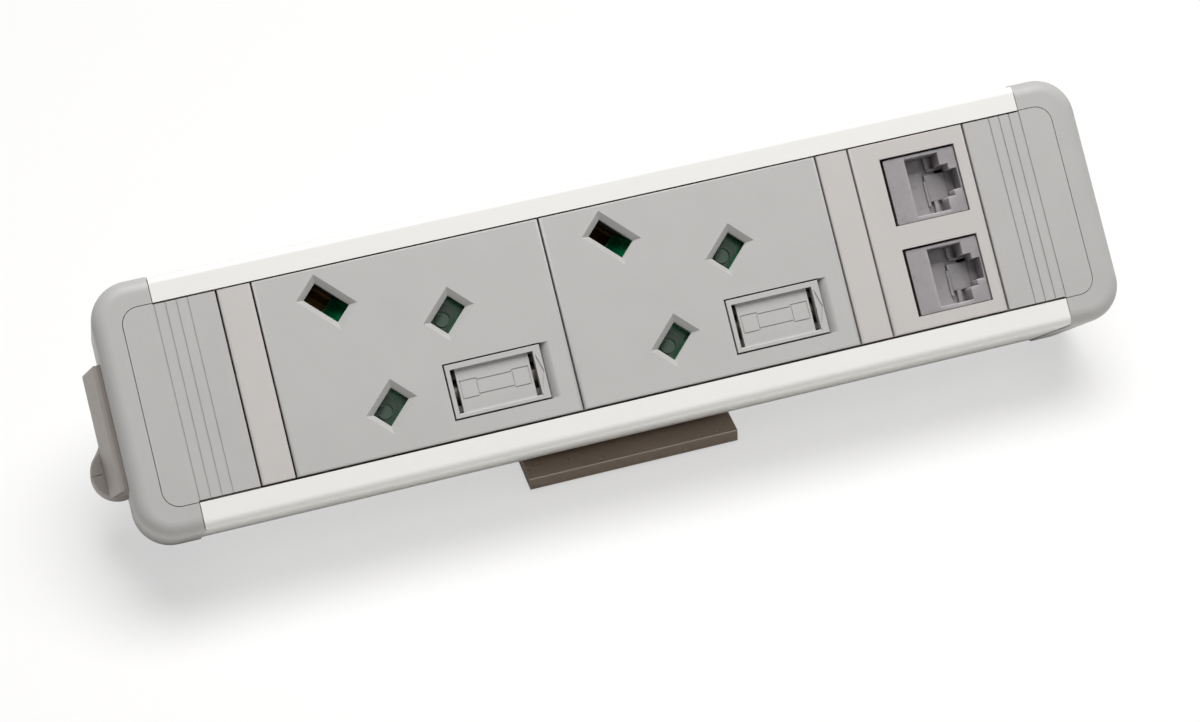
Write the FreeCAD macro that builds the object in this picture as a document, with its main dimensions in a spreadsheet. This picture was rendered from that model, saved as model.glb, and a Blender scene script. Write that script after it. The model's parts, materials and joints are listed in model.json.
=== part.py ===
import FreeCAD, Part
import math
import os
import re

import Sketcher
from FreeCAD import Placement, Rotation, Vector

# Millimetres and degrees. Each driving size is written once, here.
SIZES = {
    "face_tilt": "45",
    "face_height": "52",
    "body_depth": "31",
    "shell_wall": "1.6",
    "back_wall": "1.8",
    "rail_opening": "41.1",
    "lip_thickness": "2.2",
    "rail_round": "1.7",
    "rear_round": "1.5",
    "slot_neck": "4.6",
    "slot_width": "9.6",
    "slot_height": "3.4",
    "slot_wall": "1.2",
    "seam": "0.35",
    "fit_gap": "0.15",
    "seat_gap": "0.3",
    "screw_gap": "0.05",
    "cut_past": "1",
    "merge": "0.5",
    "socket_width": "60.1",
    "blank_width": "7.15",
    "data_width": "25.6",
    "tongue_length": "12.7",
    "plate_thickness": "2.2",
    "plate_edge_round": "0.35",
    "skirt_depth": "6",
    "skirt_wall": "1",
    "hook_reach": "2",
    "hook_height": "1.6",
    "cap_length": "12.7",
    "cap_proud": "0.35",
    "cap_corner_round": "8.1",
    "cap_front_round": "3",
    "cap_wall": "2.2",
    "tongue_thickness": "3.2",
    "insert_overlap": "6.8",
    "insert_thickness": "1.8",
    "insert_corner_round": "3.5",
    "rib_pitch": "2.27",
    "rib_groove_width": "0.4",
    "rib_groove_depth": "0.3",
    "peg_radius": "1.2",
    "peg_length": "2.4",
    "peg_spread": "16",
    "clamp_bar_width": "8",
    "clamp_bar_thickness": "3",
    "clamp_post_width": "2.4",
    "cap_screw_radius": "1.5",
    "cap_screw_head_radius": "2.7",
    "cap_screw_head_height": "1.4",
    "cap_screw_spread": "27",
    "cap_screw_tip": "0.1",
    "cap_screw_slot_width": "0.8",
    "cap_screw_slot_length": "3.6",
    "driver_slot_depth": "0.7",
    "pin_turn": "45",
    "earth_x": "-16",
    "earth_y": "13.05",
    "pin_pitch": "22.2",
    "pin_spread": "22.2",
    "earth_hole_length": "8.2",
    "earth_hole_width": "4.3",
    "power_hole_length": "6.75",
    "power_hole_width": "4.25",
    "hole_bevel": "1.15",
    "boss_inset": "4.45",
    "boss_edge": "5.2",
    "boss_radius": "2.5",
    "boss_depth": "5.8",
    "socket_screw_radius": "1.25",
    "socket_screw_head_radius": "2.4",
    "socket_screw_head_height": "1.5",
    "socket_screw_slot_width": "0.6",
    "socket_screw_slot_length": "3",
    "socket_screw_tip_gap": "1.2",
    "base_side_inset": "1.2",
    "shutter_thickness": "1.9",
    "shutter_gap": "0.25",
    "shutter_travel": "4.9",
    "shutter_ramp_depth": "5.8",
    "shutter_ramp_length": "4.6",
    "shutter_ramp_width": "4.7",
    "shutter_stem_width": "6.6",
    "shutter_bar_width": "3.9",
    "shutter_cover": "0.6",
    "bar_lap": "0.7",
    "ramp_lip": "0.7",
    "ramp_back": "1.6",
    "window_margin": "2.4",
    "shutter_neck_width": "1.95",
    "shutter_boss_radius": "1.5",
    "shutter_boss_height": "0.15",
    "spring_wire_radius": "0.15",
    "spring_radius": "0.8",
    "spring_length": "6.4",
    "spring_gap": "0.1",
    "spring_turns": "4",
    "spring_post_length": "1.4",
    "contact_leaf": "0.7",
    "contact_grip": "3.8",
    "contact_height": "10.5",
    "earth_contact_sink": "0.8",
    "power_contact_sink": "1.2",
    "earth_leaf_margin": "0.4",
    "contact_tail": "2",
    "tail_reach": "0.9",
    "power_pin_width": "6.35",
    "earth_pin_width": "8",
    "contact_pocket_gap": "0.3",
    "fuse_inset": "16",
    "fuse_edge": "9.9",
    "fuse_well_length": "20.7",
    "fuse_well_width": "11.8",
    "finger_notch": "1.7",
    "finger_notch_inset": "0.1",
    "finger_notch_lip": "0.25",
    "finger_notch_depth": "1.32",
    "carrier_border": "1.35",
    "carrier_recess": "1",
    "carrier_slot": "0.9",
    "carrier_cradle_depth": "12",
    "carrier_cradle_wall": "1.3",
    "cradle_gap": "0.2",
    "cradle_end_gap": "0.4",
    "cradle_floor_thickness": "1.25",
    "cradle_floor_inset": "3",
    "carrier_travel": "9",
    "fuse_radius": "2.5",
    "fuse_length": "20",
    "fuse_cap_length": "5",
    "fuse_cap_step": "0.15",
    "fuse_depth": "5.9",
    "clip_leaf": "0.6",
    "clip_width": "4.4",
    "clip_top_drop": "1.5",
    "jack_x": "1.7",
    "jack_pitch": "19.5",
    "jack_drop": "0.3",
    "jack_length": "16.6",
    "jack_height": "14.5",
    "jack_setback": "0.5",
    "jack_step": "2",
    "jack_depth": "17",
    "jack_wall": "1.4",
    "port_width": "7.5",
    "port_height": "12.4",
    "port_depth": "13",
    "port_left": "5.1",
    "latch_step": "1.6",
    "latch_wide": "6.4",
    "latch_narrow": "4.4",
    "jack_wire_radius": "0.22",
    "jack_wire_pitch": "1.02",
    "jack_wire_length": "9",
    "jack_wire_slope": "6",
    "jack_cap_depth": "4.4",
    "jack_slot_width": "0.5",
    "jack_slot_depth": "2.6",
    "jack_slot_pitch": "2.6",
    "jack_lug_reach": "1.2",
    "jack_lug_height": "6",
    "jack_lug_thickness": "2.25",
    "jack_wire_gap": "0.1",
    "inlet_height": "25.9",
    "inlet_drop": "1.7",
    "inlet_front": "4.5",
    "inlet_span": "14.3",
    "inlet_front_reach": "1.7",
    "inlet_rear_reach": "3.7",
    "inlet_body_depth": "19.6",
    "inlet_wall": "1.2",
    "inlet_cover_thickness": "1",
    "inlet_cover_lap": "2.2",
    "inlet_flange_lap": "1.3",
    "inlet_cavity_depth": "14",
    "inlet_pin_radius": "1.5",
    "inlet_pin_length": "8.5",
    "inlet_pin_pitch": "7",
    "inlet_tail_length": "4",
    "gland_radius": "5.6",
    "gland_offset": "1",
    "gland_drop": "9.3",
    "gland_bore": "3",
    "gland_neck_foot": "5.5",
    "gland_neck_radius": "1.9",
    "gland_neck_length": "8",
    "gland_wall": "1.5",
    "wire_radius": "1.4",
    "wire_bend": "3.6",
    "wire_gap": "0.1",
    "wire_step": "2",
    "wire_run": "3.5",
    "wire_row": "9.2",
    "wire_row_pitch": "4.2",
    "earth_screw_radius": "2",
    "earth_screw_head_radius": "3.6",
    "earth_screw_head_height": "2.2",
    "earth_tag_thickness": "0.8",
    "earth_tag_radius": "4",
    "earth_tag_inset": "14",
    "earth_tail_length": "3",
    "earth_tail_width": "3",
    "foot_width": "46.4",
    "foot_length": "48",
    "foot_thickness": "3",
    "foot_lead": "3",
    "pad_thickness": "0.45",
    "pad_inset": "1",
    "bracket_width": "38",
    "bracket_thickness": "2",
    "bracket_reach": "36",
    "bracket_base_reach": "34",
    "cheek_inset": "2",
    "cheek_rise": "1",
    "bracket_screw_radius": "2",
    "bracket_screw_head_radius": "3.5",
    "bracket_screw_head_height": "2.4",
    "bracket_key_radius": "1.2",
    "bracket_key_depth": "1.44",
    "bracket_screw_spread": "24",
    "nut_length": "10",
    "foot_screw_head_radius": "4",
    "foot_screw_y": "6",
}

# Sizes that follow from the driving ones.
FOLLOWING = {
    "half_height": "=face_height / 2",
    "cap_half": "=half_height + cap_proud",
    "half_opening": "=rail_opening / 2",
    "rail_length": "=2 * (tongue_length + socket_width + blank_width) + data_width",
    "rail_end": "=rail_length / 2",
    "row_start": "=-rail_end + tongue_length",
    "first_socket_x": "=row_start + blank_width + socket_width / 2",
    "second_socket_x": "=first_socket_x + socket_width",
    "right_blank_x": "=second_socket_x + socket_width / 2 + blank_width / 2",
    "left_blank_x": "=row_start + blank_width / 2",
    "data_x": "=right_blank_x + blank_width / 2 + data_width / 2",
    "module_half": "=half_opening - fit_gap",
    "boss_x": "=socket_width / 2 - boss_inset",
    "boss_y": "=module_half - boss_edge",
    "fuse_x": "=socket_width / 2 - fuse_inset",
    "fuse_y": "=fuse_edge - module_half",
    "hook_top": "=lip_thickness + fit_gap",
    "inner_half": "=half_height - shell_wall",
    "inner_depth": "=body_depth - back_wall",
    "ridge_depth": "=inner_depth - slot_height - slot_wall",
    "base_half": "=module_half - skirt_wall - fit_gap",
    "base_depth": "=ridge_depth - tail_reach - seat_gap",
    "power_offset": "=pin_spread / 2",
    "shutter_top": "=plate_thickness + shutter_gap",
    "shutter_bottom": "=shutter_top + shutter_thickness",
    "chamber_depth": "=shutter_bottom + shutter_gap",
    "ramp_start": "=shutter_gap",
    "window_half": "=spring_radius + 2 * spring_wire_radius + fit_gap",
    "stem_start": "=ramp_start + shutter_ramp_length",
    "blade_start": "=pin_pitch - power_hole_width / 2 - shutter_cover",
    "blade_end": "=pin_pitch + power_hole_width / 2 + shutter_cover",
    "blade_tip": "=power_offset + power_hole_length / 2 + fit_gap",
    "neck_outer": "=power_offset - power_hole_length / 2 - fit_gap",
    "neck_inner": "=neck_outer - shutter_neck_width",
    "bar_start": "=blade_start + bar_lap - shutter_bar_width",
    "bar_end": "=bar_start + shutter_bar_width",
    "window_start": "=stem_start + window_margin",
    "spring_end": "=window_start + spring_gap + spring_length",
    "post_end": "=spring_end + spring_gap + spring_post_length",
    "window_end": "=post_end + seat_gap",
    "ramp_bottom": "=plate_thickness + shutter_gap + shutter_ramp_depth",
    "earth_contact_top": "=ramp_bottom + earth_contact_sink",
    "power_contact_top": "=chamber_depth + power_contact_sink",
    "contact_bottom": "=earth_contact_top + contact_height",
    "tail_bottom": "=base_depth + tail_reach",
    "cradle_half": "=fuse_radius + cradle_gap + carrier_cradle_wall",
    "well_half_length": "=fuse_length / 2 + 2 * fit_gap + clip_leaf",
    "jack_left": "=data_x + jack_x - jack_length / 2",
    "jack_right": "=jack_left + jack_length",
    "port_start": "=jack_left + port_left",
    "port_end": "=port_start + port_width",
    "cap_inner": "=rail_end + fit_gap",
    "cap_outer": "=cap_inner + cap_length",
    "insert_outer": "=rail_end + insert_overlap",
    "insert_inner": "=rail_end - tongue_length + seam / 2",
    "tongue_top": "=insert_thickness",
    "tongue_bottom": "=insert_thickness + tongue_thickness",
    "clamp_top": "=tongue_bottom + fit_gap",
    "clamp_bottom": "=clamp_top + clamp_bar_thickness",
    "clamp_x": "=rail_end - tongue_length / 2",
    "cap_screw_length": "=clamp_bottom + cap_screw_tip - insert_thickness - fit_gap - cap_screw_head_height",
    "inlet_rear": "=inlet_front + inlet_span",
    "inlet_box_front": "=max(inlet_front + inlet_flange_lap; clamp_bottom + seat_gap)",
    "inlet_box_rear": "=inlet_rear - inlet_flange_lap",
    "inlet_box_half": "=inlet_height / 2 - inlet_flange_lap",
    "inlet_box_inner": "=cap_outer - inlet_body_depth",
    "inlet_middle": "=(inlet_box_front + inlet_box_rear) / 2",
    "gland_front": "=inlet_rear + seat_gap",
    "gland_middle": "=(gland_front + body_depth) / 2",
    "gland_x": "=cap_outer + gland_offset",
    "wire_level": "=(ridge_depth + inner_depth) / 2 + seat_gap",
    "lowest_corner": "=(half_height - rear_round) * sin(face_tilt) + (body_depth - rear_round) * cos(face_tilt) + rear_round",
    "plate_top": "=pad_thickness + foot_thickness",
    "face_z": "=plate_top + seat_gap + lowest_corner",
    "face_y": "=foot_lead - foot_length / 2",
    "corner_y": "=face_y - half_height * cos(face_tilt) + body_depth * sin(face_tilt)",
    "corner_z": "=face_z - half_height * sin(face_tilt) - body_depth * cos(face_tilt)",
}

ALIASES = set(SIZES) | set(FOLLOWING)

doc = FreeCAD.newDocument("desktop_power_module")
sheet = doc.addObject("Spreadsheet::Sheet", "sizes")
for row, (alias, text) in enumerate([*SIZES.items(), *FOLLOWING.items()], start=1):
    sheet.set(f"A{row}", alias)
    sheet.set(f"B{row}", text)
    sheet.setAlias(f"B{row}", alias)
doc.recompute()

nodes = []


def value(alias):
    """The number that a cell of the sheet holds."""
    return float(sheet.get(alias))


def tie(text):
    """Makes the size names in a formula read the sheet."""
    def named(word):
        return "sizes." + word.group() if word.group() in ALIASES else word.group()
    return re.sub(r"[a-z_]\w*", named, str(text))


def bind(item, **formulas):
    """Ties properties of an object to the sheet; a double underscore stands for a dot."""
    for path, text in formulas.items():
        item.setExpression(path.replace("__", "."), tie(text))


def block(name, across, up, out):
    """A box between two values along each axis."""
    item = doc.addObject("Part::Box", name)
    bind(item, Length=f"({across[1]}) - ({across[0]})", Width=f"({up[1]}) - ({up[0]})",
         Height=f"({out[1]}) - ({out[0]})")
    bind(item, Placement__Base__x=across[0], Placement__Base__y=up[0], Placement__Base__z=out[0])
    return item


TURNS = {
    "x": Rotation(Vector(0, 1, 0), 90),
    "-x": Rotation(Vector(0, 1, 0), -90),
    "y": Rotation(Vector(1, 0, 0), -90),
    "-y": Rotation(Vector(1, 0, 0), 90),
    "z": Rotation(),
    "-z": Rotation(Vector(1, 0, 0), 180),
}


def set_at(item, start, along="z"):
    """Turns an object to lie along an axis, from a start point tied to the sheet."""
    item.Placement = Placement(Vector(), TURNS[along])
    bind(item, Placement__Base__x=start[0], Placement__Base__y=start[1], Placement__Base__z=start[2])
    return item


def turn(item, axis, angle, start):
    """Turns an object about an axis by an angle tied to the sheet, and sets its place."""
    item.Placement = Placement(Vector(), Rotation(axis, value(angle)))
    bind(item, Placement__Rotation__Angle=angle)
    bind(item, Placement__Base__x=start[0], Placement__Base__y=start[1], Placement__Base__z=start[2])
    return item


def rod(name, radius, length, start, along="z"):
    item = doc.addObject("Part::Cylinder", name)
    bind(item, Radius=radius, Height=length)
    return set_at(item, start, along)


def cone(name, radius, tip_radius, length, start, along="z"):
    item = doc.addObject("Part::Cone", name)
    bind(item, Radius1=radius, Radius2=tip_radius, Height=length)
    return set_at(item, start, along)


def fuse(name, *items):
    whole = doc.addObject("Part::MultiFuse", name)
    whole.Shapes = list(items)
    return whole


def cut(name, base, *tools):
    whole = doc.addObject("Part::Cut", name)
    whole.Base = base
    whole.Tool = tools[0] if len(tools) == 1 else fuse(name + "_tools", *tools)
    return whole


def group(name, *items):
    whole = doc.addObject("Part::Compound", name)
    whole.Links = list(items)
    return whole


def plane_of(body, role):
    return next(item for item in body.Origin.OriginFeatures if item.Role == role)


def outline(body, name, plane, level, *loops):
    """A sketch of closed loops whose corners are all tied to the sheet, at a level off a plane."""
    sketch = body.newObject("Sketcher::SketchObject", name)
    sketch.AttachmentSupport = [(plane_of(body, plane + "_Plane"), "")]
    sketch.MapMode = "FlatFace"
    bind(sketch, AttachmentOffset__Base__z=level)
    for points in loops:
        first = sketch.GeometryCount
        places = [Vector(evaluate(a), evaluate(b), 0) for a, b in points]
        for here, after in zip(places, places[1:] + places[:1]):
            sketch.addGeometry(Part.LineSegment(here, after), False)
        for number, (a, b) in enumerate(points):
            line = first + number
            before = first + (number - 1) % len(points)
            sketch.addConstraint(Sketcher.Constraint("Coincident", before, 2, line, 1))
            across = sketch.addConstraint(Sketcher.Constraint("DistanceX", -1, 1, line, 1, places[number].x))
            up = sketch.addConstraint(Sketcher.Constraint("DistanceY", -1, 1, line, 1, places[number].y))
            sketch.setExpression(f"Constraints[{across}]", tie(a))
            sketch.setExpression(f"Constraints[{up}]", tie(b))
    return sketch


def evaluate(text):
    """The present number of a formula, for the first place of a sketch's corner."""
    return float(FreeCAD.Units.Quantity(sheet.evalExpression(tie(text))).Value)


def pad(body, sketch, length, turned=False):
    feature = body.newObject("PartDesign::Pad", sketch.Name + "_pad")
    feature.Profile = sketch
    feature.Reversed = turned
    bind(feature, Length=length)
    doc.recompute()
    return feature


def pocket(body, sketch, length, turned=False):
    """A cut below a sketch, which has to take some volume away."""
    before = body.Tip.Shape.Volume
    feature = body.newObject("PartDesign::Pocket", sketch.Name + "_pocket")
    feature.Profile = sketch
    feature.Reversed = turned
    bind(feature, Length=length)
    doc.recompute()
    if feature.Shape.Volume >= before:
        raise ValueError(f"{feature.Name} cuts nothing")
    return feature


def edges(shape, wanted):
    """The names of the edges whose middle, and whose direction if straight, pass a test."""
    names = []
    for number, edge in enumerate(shape.Edges, start=1):
        middle = edge.valueAt((edge.FirstParameter + edge.LastParameter) / 2)
        if wanted(middle, edge):
            names.append(f"Edge{number}")
    return names


def dress(body, kind, size, wanted):
    """A fillet or a chamfer on the edges of the newest feature that pass a test."""
    last = body.Tip
    feature = body.newObject("PartDesign::" + kind, f"{body.Name}_{kind}_{len(body.Group)}")
    feature.Base = (last, edges(last.Shape, wanted))
    bind(feature, **{"Radius" if kind == "Fillet" else "Size": size})
    doc.recompute()
    return feature


def near(a, b):
    return abs(a - b) < 0.001


def runs_along(edge, axis):
    """True for a straight edge that lies along x, y or z."""
    if edge.Curve.TypeId != "Part::GeomLine":
        return False
    ends = edge.Vertexes[-1].Point - edge.Vertexes[0].Point
    return near(abs(getattr(ends, axis)), ends.Length)


def new_body(name):
    return doc.addObject("PartDesign::Body", name)


def keep(item, name):
    """Names a finished sub-part."""
    item.Label = name
    nodes.append(item)
    return item


def keep_tilted(item, name):
    """Names a sub-part drawn with x along the face, y up it and z out of it, and leans it back."""
    turn(item, Vector(1, 0, 0), "face_tilt", ("0", "face_y", "face_z"))
    return keep(item, name)


def mirrored(text, side):
    return f"{side} * ({text})"


# The extruded shell

def body_extrusion():
    body = new_body("shell")
    half, depth, lip = "half_height", "body_depth", "lip_thickness"
    neck, wide = "slot_neck / 2", "slot_width / 2"
    floor, roof = "inner_depth", "inner_depth - slot_height"
    right = [
        ("half_opening", "0"), (half, "0"), (half, f"-{depth}"), (neck, f"-{depth}"),
        (neck, f"-{floor}"), (wide, f"-{floor}"), (wide, f"-({roof})"),
    ]
    inner_right = [
        ("0", "-ridge_depth"), (f"{wide} + slot_wall", "-ridge_depth"), (f"{wide} + slot_wall", f"-{floor}"),
        ("inner_half", f"-{floor}"), ("inner_half", f"-{lip}"), ("half_opening", f"-{lip}"),
    ]
    left = [(f"-({a})", b) for a, b in reversed(right)]
    inner_left = [(f"-({a})", b) for a, b in reversed(inner_right[1:])]
    points = right + left + inner_left + inner_right
    profile = outline(body, "shell_profile", "YZ", "-rail_end", points)
    pad(body, profile, "rail_length")
    outside = value("half_height")
    dress(body, "Fillet", "rail_round",
          lambda at, edge: runs_along(edge, "x") and near(abs(at.y), outside) and near(at.z, 0))
    dress(body, "Fillet", "rear_round",
          lambda at, edge: runs_along(edge, "x") and near(abs(at.y), outside)
          and near(at.z, -value("body_depth")))
    bond = rod("bond_hole", "earth_screw_radius + screw_gap", "back_wall * 2",
               ("earth_tag_inset - rail_end", "half_opening - earth_tag_radius", "-body_depth - merge"))
    keep_tilted(cut("body_extrusion", body, bond), "body_extrusion")


# End caps, their ribbed inserts and what clamps them

def end_cap_shell(name, side):
    """The moulded cap: a round-cornered block, later hollowed."""
    body = new_body(name + "_outside")
    inner, outer = mirrored("cap_inner", side), mirrored("cap_outer", side)
    plan = outline(body, name + "_plan", "XY", "-body_depth",
                   [(inner, "-cap_half"), (outer, "-cap_half"), (outer, "cap_half"), (inner, "cap_half")])
    pad(body, plan, "body_depth")
    end, start = side * value("cap_outer"), side * value("cap_inner")
    dress(body, "Fillet", "cap_corner_round", lambda at, edge: runs_along(edge, "z") and near(at.x, end))
    dress(body, "Fillet", "cap_front_round", lambda at, edge: near(at.z, 0) and not near(at.x, start))
    dress(body, "Fillet", "rear_round",
          lambda at, edge: near(at.z, -value("body_depth")) and not near(at.x, start))
    return body


def rounded_block(name, side, across, up_half, out, corner_round):
    """A block that ends at one end of the module with two round corners."""
    body = new_body(name)
    plan = outline(body, name + "_plan", "XY", out[0],
                   rectangle(across[0], across[1], f"-{up_half}", up_half))
    pad(body, plan, f"({out[1]}) - ({out[0]})")
    far = evaluate(across[1] if side > 0 else across[0])
    dress(body, "Fillet", corner_round, lambda at, edge: runs_along(edge, "z") and near(at.x, far))
    return body


def screw_places(side):
    return [(mirrored("clamp_x", side), f"{way} * cap_screw_spread / 2") for way in (-1, 1)]


def peg_places(side):
    return [(mirrored("rail_end + insert_overlap / 2", side), f"{way} * peg_spread / 2") for way in (-1, 1)]


def ordered(side, near_text, far_text):
    """Two values of x on one end of the module, the lower one first."""
    pair = (mirrored(near_text, side), mirrored(far_text, side))
    return pair if side > 0 else pair[::-1]


def end_cap(name, side, *more_tools):
    shell = end_cap_shell(name, side)
    tongue = block(name + "_tongue", ordered(side, "insert_inner", "cap_inner + cap_wall"),
                   ("-module_half", "module_half"), ("-tongue_bottom", "-tongue_top"))
    hollow = rounded_block(name + "_hollow", side, ordered(side, "cap_inner - cut_past", "cap_outer - cap_wall"),
                           "inner_half", ("cap_wall - body_depth", "-tongue_bottom"), "cap_corner_round - cap_wall")
    hollow_front = rounded_block(name + "_seat", side, ordered(side, "cap_inner - cut_past", "insert_outer + fit_gap"),
                                 "half_opening", ("-insert_thickness", "cut_past"), "insert_corner_round + fit_gap")
    hollowed = cut(name + "_hollowed", shell, hollow, hollow_front)
    whole = fuse(name + "_whole", hollowed, tongue)
    tools = []
    for number, (x, y) in enumerate(screw_places(side)):
        tools.append(rod(f"{name}_screw_hole_{number}", "cap_screw_radius + fit_gap", "tongue_thickness + 2 * cut_past",
                         (x, y, "-tongue_bottom - cut_past")))
        tools.append(rod(f"{name}_screw_seat_{number}", "cap_screw_head_radius + fit_gap",
                         "cap_screw_head_height + fit_gap + cut_past",
                         (x, y, "-tongue_top - cap_screw_head_height - fit_gap")))
    for number, (x, y) in enumerate(peg_places(side)):
        tools.append(rod(f"{name}_peg_hole_{number}", "peg_radius + fit_gap", "peg_length + fit_gap + cut_past",
                         (x, y, "-tongue_top - peg_length - fit_gap")))
    keep_tilted(cut(name, whole, *tools, *more_tools), name)


def end_insert(name, side):
    """The ribbed strip that hides the cap's screws."""
    body = new_body(name + "_strip")
    inner, outer = mirrored("insert_inner", side), mirrored("insert_outer", side)
    plan = outline(body, name + "_plan", "XY", "-insert_thickness",
                   [(inner, "-module_half"), (outer, "-module_half"), (outer, "module_half"), (inner, "module_half")])
    pad(body, plan, "insert_thickness")
    end, start = side * value("insert_outer"), side * value("insert_inner")
    dress(body, "Fillet", "insert_corner_round", lambda at, edge: runs_along(edge, "z") and near(at.x, end))
    dress(body, "Fillet", "plate_edge_round", lambda at, edge: near(at.z, 0) and near(at.x, start))
    low, high = (mirrored(f"rail_end {sign} rib_groove_width / 2", side) for sign in "-+")
    groove = outline(body, name + "_groove", "XY", "0",
                     [(low, "-half_opening"), (high, "-half_opening"), (high, "half_opening"), (low, "half_opening")])
    first = pocket(body, groove, "rib_groove_depth")
    pattern = body.newObject("PartDesign::LinearPattern", name + "_grooves")
    pattern.Originals = [first]
    pattern.Direction = (groove, ["H_Axis"])
    pattern.Reversed = side > 0
    pattern.Occurrences = 4
    bind(pattern, Length="3 * rib_pitch")
    body.Tip = pattern
    doc.recompute()
    pegs = [rod(f"{name}_peg_{number}", "peg_radius", "peg_length + merge", (x, y, "-insert_thickness - peg_length"))
            for number, (x, y) in enumerate(peg_places(side))]
    keep_tilted(fuse(name, body, *pegs), name)


def end_clamp_bar(name, side):
    """A bar behind the rails that the cap's screws pull up against their lips."""
    across = ordered(side, "clamp_x - clamp_bar_width / 2", "clamp_x + clamp_bar_width / 2")
    half = "(inner_half - 2 * fit_gap)"
    bar = block(name + "_bar", across, (f"-{half}", half), ("-clamp_bottom", "-clamp_top"))
    posts = [block(f"{name}_post_{way}", across, (low, high), ("-clamp_top - merge", "-lip_thickness"))
             for way, low, high in (("low", f"-{half}", f"clamp_post_width - {half}"),
                                    ("high", f"{half} - clamp_post_width", half))]
    holes = [rod(f"{name}_hole_{number}", "cap_screw_radius + screw_gap", "clamp_bar_thickness + 2 * cut_past",
                 (x, y, "-clamp_bottom - cut_past")) for number, (x, y) in enumerate(screw_places(side))]
    keep_tilted(cut(name, fuse(name + "_whole", bar, *posts), *holes), name)


def driver_slot(name, x, y, screw, out):
    """The slot in a screw's head."""
    wide, long = f"{screw}_slot_width / 2", f"{screw}_slot_length / 2"
    return block(name, (f"{x} - {wide}", f"{x} + {wide}"), (f"{y} - {long}", f"{y} + {long}"), out)


def end_cap_screws():
    screws = []
    for side in (-1, 1):
        for number, (x, y) in enumerate(screw_places(side)):
            name = f"cap_screw_{'left' if side < 0 else 'right'}_{number}"
            top = "-tongue_top - fit_gap - cap_screw_head_height"
            head = rod(name + "_head", "cap_screw_head_radius", "cap_screw_head_height", (x, y, top))
            shank = rod(name + "_shank", "cap_screw_radius", "cap_screw_length",
                        (x, y, f"{top} - cap_screw_length"))
            driver = driver_slot(name + "_driver", x, y, "cap_screw",
                                 (f"{top} + cap_screw_head_height - driver_slot_depth",
                                  f"{top} + cap_screw_head_height + cut_past"))
            screws.append(cut(name, fuse(name + "_blank", head, shank), driver))
    keep_tilted(group("end_cap_screws", *screws), "end_cap_screws")


# Plates that clip between the rails

def clip_plate(name, middle, width):
    """A plate with two skirts that hook under the rails' lips."""
    body = new_body(name)
    hook = "(module_half + hook_reach)"
    inner = "(module_half - skirt_wall)"
    right = [
        ("module_half", "0"), ("module_half", "-hook_top"), (hook, "-hook_top"), (hook, "-hook_top - hook_height / 2"),
        ("module_half", "-skirt_depth"), (inner, "-skirt_depth"), (inner, "-plate_thickness"),
    ]
    left = [(f"-{a}", b) for a, b in reversed(right)]
    profile = outline(body, name + "_profile", "YZ", f"{middle} - ({width}) / 2 + seam / 2", right + left)
    pad(body, profile, f"({width}) - seam")
    dress(body, "Fillet", "plate_edge_round", lambda at, edge: near(at.z, 0))
    return body


def blank_strips():
    for name, middle in (("blank_strip_left", "left_blank_x"), ("blank_strip_right", "right_blank_x")):
        keep_tilted(clip_plate(name, middle, "blank_width"), name)


# Socket modules

def turned(middle, along, aside):
    """A point of a socket's pin frame, as two formulas in the face frame."""
    x = f"{middle} + earth_x + ({along}) * cos(pin_turn) + ({aside}) * sin(pin_turn)"
    y = f"earth_y - ({along}) * sin(pin_turn) + ({aside}) * cos(pin_turn)"
    return x, y


def turned_rectangle(middle, along, aside, length, width):
    """Corners of a rectangle whose length runs along the pin frame's x."""
    return [turned(middle, f"{along} + {a} * ({length}) / 2", f"{aside} + {b} * ({width}) / 2")
            for a, b in ((-1, -1), (1, -1), (1, 1), (-1, 1))]


def turned_block(name, middle, along, aside, out):
    """A box between two values along each axis of a socket's pin frame."""
    item = doc.addObject("Part::Box", name)
    bind(item, Length=f"({along[1]}) - ({along[0]})", Width=f"({aside[1]}) - ({aside[0]})",
         Height=f"({out[1]}) - ({out[0]})")
    return turn(item, Vector(0, 0, -1), "pin_turn", (*turned(middle, along[0], aside[0]), out[0]))


def rectangle(low_x, high_x, low_y, high_y):
    return [(low_x, low_y), (high_x, low_y), (high_x, high_y), (low_x, high_y)]


def boss_places(middle):
    return [(f"{middle} + {way} * boss_x", f"{way} * boss_y") for way in (-1, 1)]


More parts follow.
